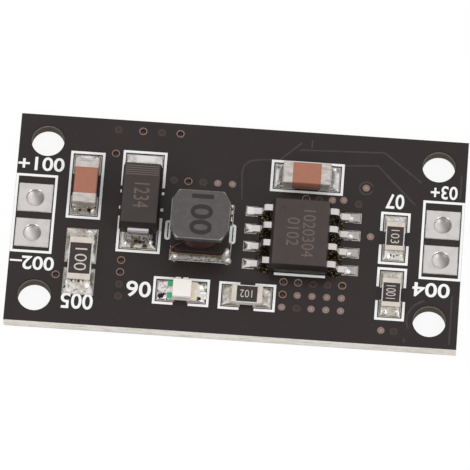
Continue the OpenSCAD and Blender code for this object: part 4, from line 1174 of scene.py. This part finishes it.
# Part, piece that stands in the solder, climb in mm, stretch of the foot in mm where it isn't the
# whole foot, hollowness, height of the lumps at the corners in mm
SOLDERED = (
    ("input_cap", "terminals", 0.55, 0, 1.7, 0.20),
    ("output_cap", "terminals", 0.55, 0, 1.7, 0.12),
    ("sense_resistor", "terminals", 0.34, 0, 1.7, 0.05),
    ("led_resistor", "terminals", 0.30, 0, 1.7, 0.06),
    ("upper_resistor", "terminals", 0.30, 0, 1.7, 0.07),
    ("lower_resistor", "terminals", 0.30, 0, 1.7, 0.07),
    ("led", "terminals", 0.22, 0, 1.6, 0.10),
    ("diode", "leads", 0.70, 0, 1.9, 0.05),
    ("coil", "terminals", 0.3, 0, 1.5, 0.10),
    ("charger_chip", "leads", 0.10, 0.62, 1.3, 0.02),
)


# Place, width along x, length along y and height of bright lumps, in mm
LUMPS = (
    (-10.92, 0.70, 0.38, 0.38, 0.42), (-9.68, 0.58, 0.40, 0.40, 0.42),
    (-9.46, -1.60, 0.26, 0.95, 0.44), (-9.66, -4.66, 0.54, 0.78, 0.36),
    (-11.04, -4.60, 0.28, 0.46, 0.28), (-9.76, -0.86, 0.50, 0.30, 0.28),
    (10.02, -1.08, 0.22, 0.30, 0.24), (10.93, -1.06, 0.22, 0.30, 0.24),
    (10.90, -5.12, 0.34, 0.32, 0.26), (10.0, -5.14, 0.22, 0.26, 0.20),
    (-7.10, -1.26, 0.24, 0.36, 0.36), (-5.66, -1.34, 0.26, 0.36, 0.36),
    (-1.95, -4.70, 0.50, 0.30, 0.22), (-1.80, -4.98, 0.22, 0.40, 0.18),
    (-1.80, -4.22, 0.14, 0.36, 0.16), (-4.42, -5.28, 0.12, 0.30, 0.14),
    (-0.26, -5.12, 0.30, 0.28, 0.36), (2.44, -4.90, 0.28, 0.62, 0.34),
    (7.46, 1.32, 0.54, 0.44, 0.32), (7.48, 0.05, 0.58, 0.42, 0.31),
    (7.46, -1.22, 0.56, 0.44, 0.32), (7.46, -2.49, 0.58, 0.44, 0.31),
)


# Place and radius of dark spots painted on the solder, in mm; on the capacitor they are a painted
# dark reflection in the middle of its near fillet
DARK_SOLDER_SPOTS = {
    "capacitor": ((-10.55, 0.60, 0.10), (-9.95, 0.62, 0.13)),
    "resistors": ((-10.72, -4.50, 0.12), (-10.45, -4.52, 0.09), (-10.22, -4.50, 0.12),
                  (-9.96, -4.50, 0.07), (-11.14, -4.95, 0.08), (10.28, -1.10, 0.05),
                  (10.48, -1.16, 0.07), (10.68, -1.10, 0.05), (10.10, -5.22, 0.06)),
}


class BOARD_OT_solder(bpy.types.Operator):
    """Solder on every land"""

    bl_idname = "board.solder"
    bl_label = "Solder"

    def execute(self, context):
        bright = solder_finish("bright_solder")
        dress([part + "_solder" for part, *_ in SOLDERED], bright)
        stained = solder_finish("stained_solder", 0.65, 1.8, DARK_SOLDER_SPOTS["resistors"])
        finishes = {"diode": diode_solder_finish(),
                    "charger_chip": chip_solder_finish(),
                    "coil": strip_solder_finish(),
                    "input_cap": solder_finish("webbed_solder", 0.7, 1.0, DARK_SOLDER_SPOTS["capacitor"]),
                    "led": lamp_solder_finish()}
        finishes.update((part, stained) for part, *_ in SOLDERED if "resistor" in part)
        for part, standing, height, stretch, hollow, lump in SOLDERED:
            node = part + "_solder"
            feet = islands(f"{part}_{standing}")
            bm = bmesh.new()
            for i, (land, foot) in enumerate(zip(islands(node), feet)):
                if stretch:
                    (x0, y0), (x1, y1) = foot
                    if land[0][0] > feet[0][0][0] + 0.5 * MM:
                        foot = ((x1 - stretch * MM, y0), (x1, y1))
                    else:
                        foot = ((x0, y0), (x0 + stretch * MM, y1))
                mound(bm, land, foot, height * MM, 7.3 * i + len(node), hollow, lump * MM)
            piece = finish_piece(node + "_melt", bm, finishes.get(part, bright))
            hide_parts(node)
        blobs("bright_lumps", LUMPS, 2.3, "bright_lump_tin")
        return {"FINISHED"}


class BOARD_OT_stage(bpy.types.Operator):
    """Floor, soft lights, sky and the camera at the photograph's angle"""

    bl_idname = "board.stage"
    bl_label = "Stage"

    def execute(self, context):
        scene = context.scene
        studio = settings().studio
        scene.view_settings.view_transform = "Standard"
        bm = bmesh.new()
        bmesh.ops.create_grid(bm, x_segments=1, y_segments=1, size=2.0)
        bmesh.ops.translate(bm, vec=(0.0, 0.0, -0.02 * MM), verts=bm.verts)
        new_object("floor", bm, floor_finish())
        self.add_sky(scene, studio)
        for name, place in LIGHTS:
            self.add_light(name, place, studio.front)
        self.add_camera(scene, studio.distance)
        return {"FINISHED"}

    def add_sky(self, scene, studio):
        """Sky that is bright above and behind, dark low in front, and white to the camera."""
        world = bpy.data.worlds.new("sky")
        world.use_nodes = True
        tree = world.node_tree
        direction = add_node(tree, "ShaderNodeTexCoord").outputs["Generated"]
        lift = add_node(tree, "ShaderNodeVectorMath", {0: direction, 1: (0.0, 0.6, 0.8)},
                        operation="DOT_PRODUCT")
        depth = add_node(tree, "ShaderNodeMapRange", {
            "From Min": -0.55, "From Max": 0.65, "To Min": studio.sky * studio.front_dark,
            "To Max": studio.sky, "Value": lift.outputs["Value"]},
            interpolation_type="SMOOTHSTEP")
        rays = add_node(tree, "ShaderNodeLightPath").outputs
        seen = calc(tree, "MAXIMUM", rays["Is Camera Ray"], rays["Is Transmission Ray"])
        level = add_node(tree, "ShaderNodeMapRange", {
            "To Min": depth.outputs["Result"], "To Max": 1.0, "Value": seen})
        fill(tree, tree.nodes["Background"], {"Color": (1.0, 1.0, 1.0, 1.0),
                                              "Strength": level.outputs["Result"]})
        scene.world = world

    def add_light(self, name, place, power):
        data = bpy.data.lights.new(name, "AREA")
        data.shape = "DISK"
        data.size = LIGHT_WIDTH
        data.energy = power
        light = bpy.data.objects.new(name, data)
        light.location = place
        light.rotation_euler = (-Vector(place)).to_track_quat("-Z", "Y").to_euler()
        bpy.context.scene.collection.objects.link(light)

    def add_camera(self, scene, distance):
        """Camera at the photograph's angle; its lens keeps the board's size at any distance."""
        data = bpy.data.cameras.new("photo_camera")
        data.sensor_width = SENSOR_MM
        data.lens = FOCAL_PX * distance / FITTED_DISTANCE / FRAME_PX * SENSOR_MM
        data.shift_x, data.shift_y = (shift / FRAME_PX for shift in SHIFT_PX)
        data.clip_start = 0.01
        data.clip_end = 10.0
        camera = bpy.data.objects.new("photo_camera", data)
        turns = [Matrix.Rotation(math.radians(angle), 4, axis) for angle, axis in (
            (AZIMUTH, "Z"), (90.0 - ELEVATION, "X"), (ROLL, "Z"))]
        camera.matrix_world = (turns[0] @ turns[1] @ turns[2]
                               @ Matrix.Translation((0.0, 0.0, distance)))
        scene.collection.objects.link(camera)
        scene.camera = camera


STEPS = (BOARD_OT_stage, BOARD_OT_base, BOARD_OT_tracks, BOARD_OT_signs, BOARD_OT_capacitors,
         BOARD_OT_resistors, BOARD_OT_lamp, BOARD_OT_diode, BOARD_OT_coil, BOARD_OT_chip,
         BOARD_OT_solder)


class BOARD_PT_looks(bpy.types.Panel):
    """Lists the board's pieces in the sidebar"""

    bl_label = "Board looks"
    bl_idname = "BOARD_PT_looks"
    bl_space_type = "VIEW_3D"
    bl_region_type = "UI"
    bl_category = "Board"

    def draw(self, context):
        layout = self.layout
        everything = settings()
        for group in (everything.board, everything.metal, everything.part, everything.studio):
            box = layout.box()
            for name in group.bl_rna.properties.keys():
                if name not in ("rna_type", "name"):
                    box.prop(group, name)
        for step in STEPS:
            layout.operator(step.bl_idname)


CLASSES = (BoardFinish, MetalFinish, PartFinish, StudioSettings, BoardSettings,
           *STEPS, BOARD_PT_looks)


def register():
    for c in CLASSES:
        bpy.utils.register_class(c)
    bpy.types.Scene.charger_board = bpy.props.PointerProperty(type=BoardSettings)


def unregister():
    del bpy.types.Scene.charger_board
    for c in reversed(CLASSES):
        bpy.utils.unregister_class(c)


def main():
    register()
    for step in STEPS:
        getattr(bpy.ops.board, step.bl_idname.removeprefix("board."))()


if __name__ == "__main__":
    main()
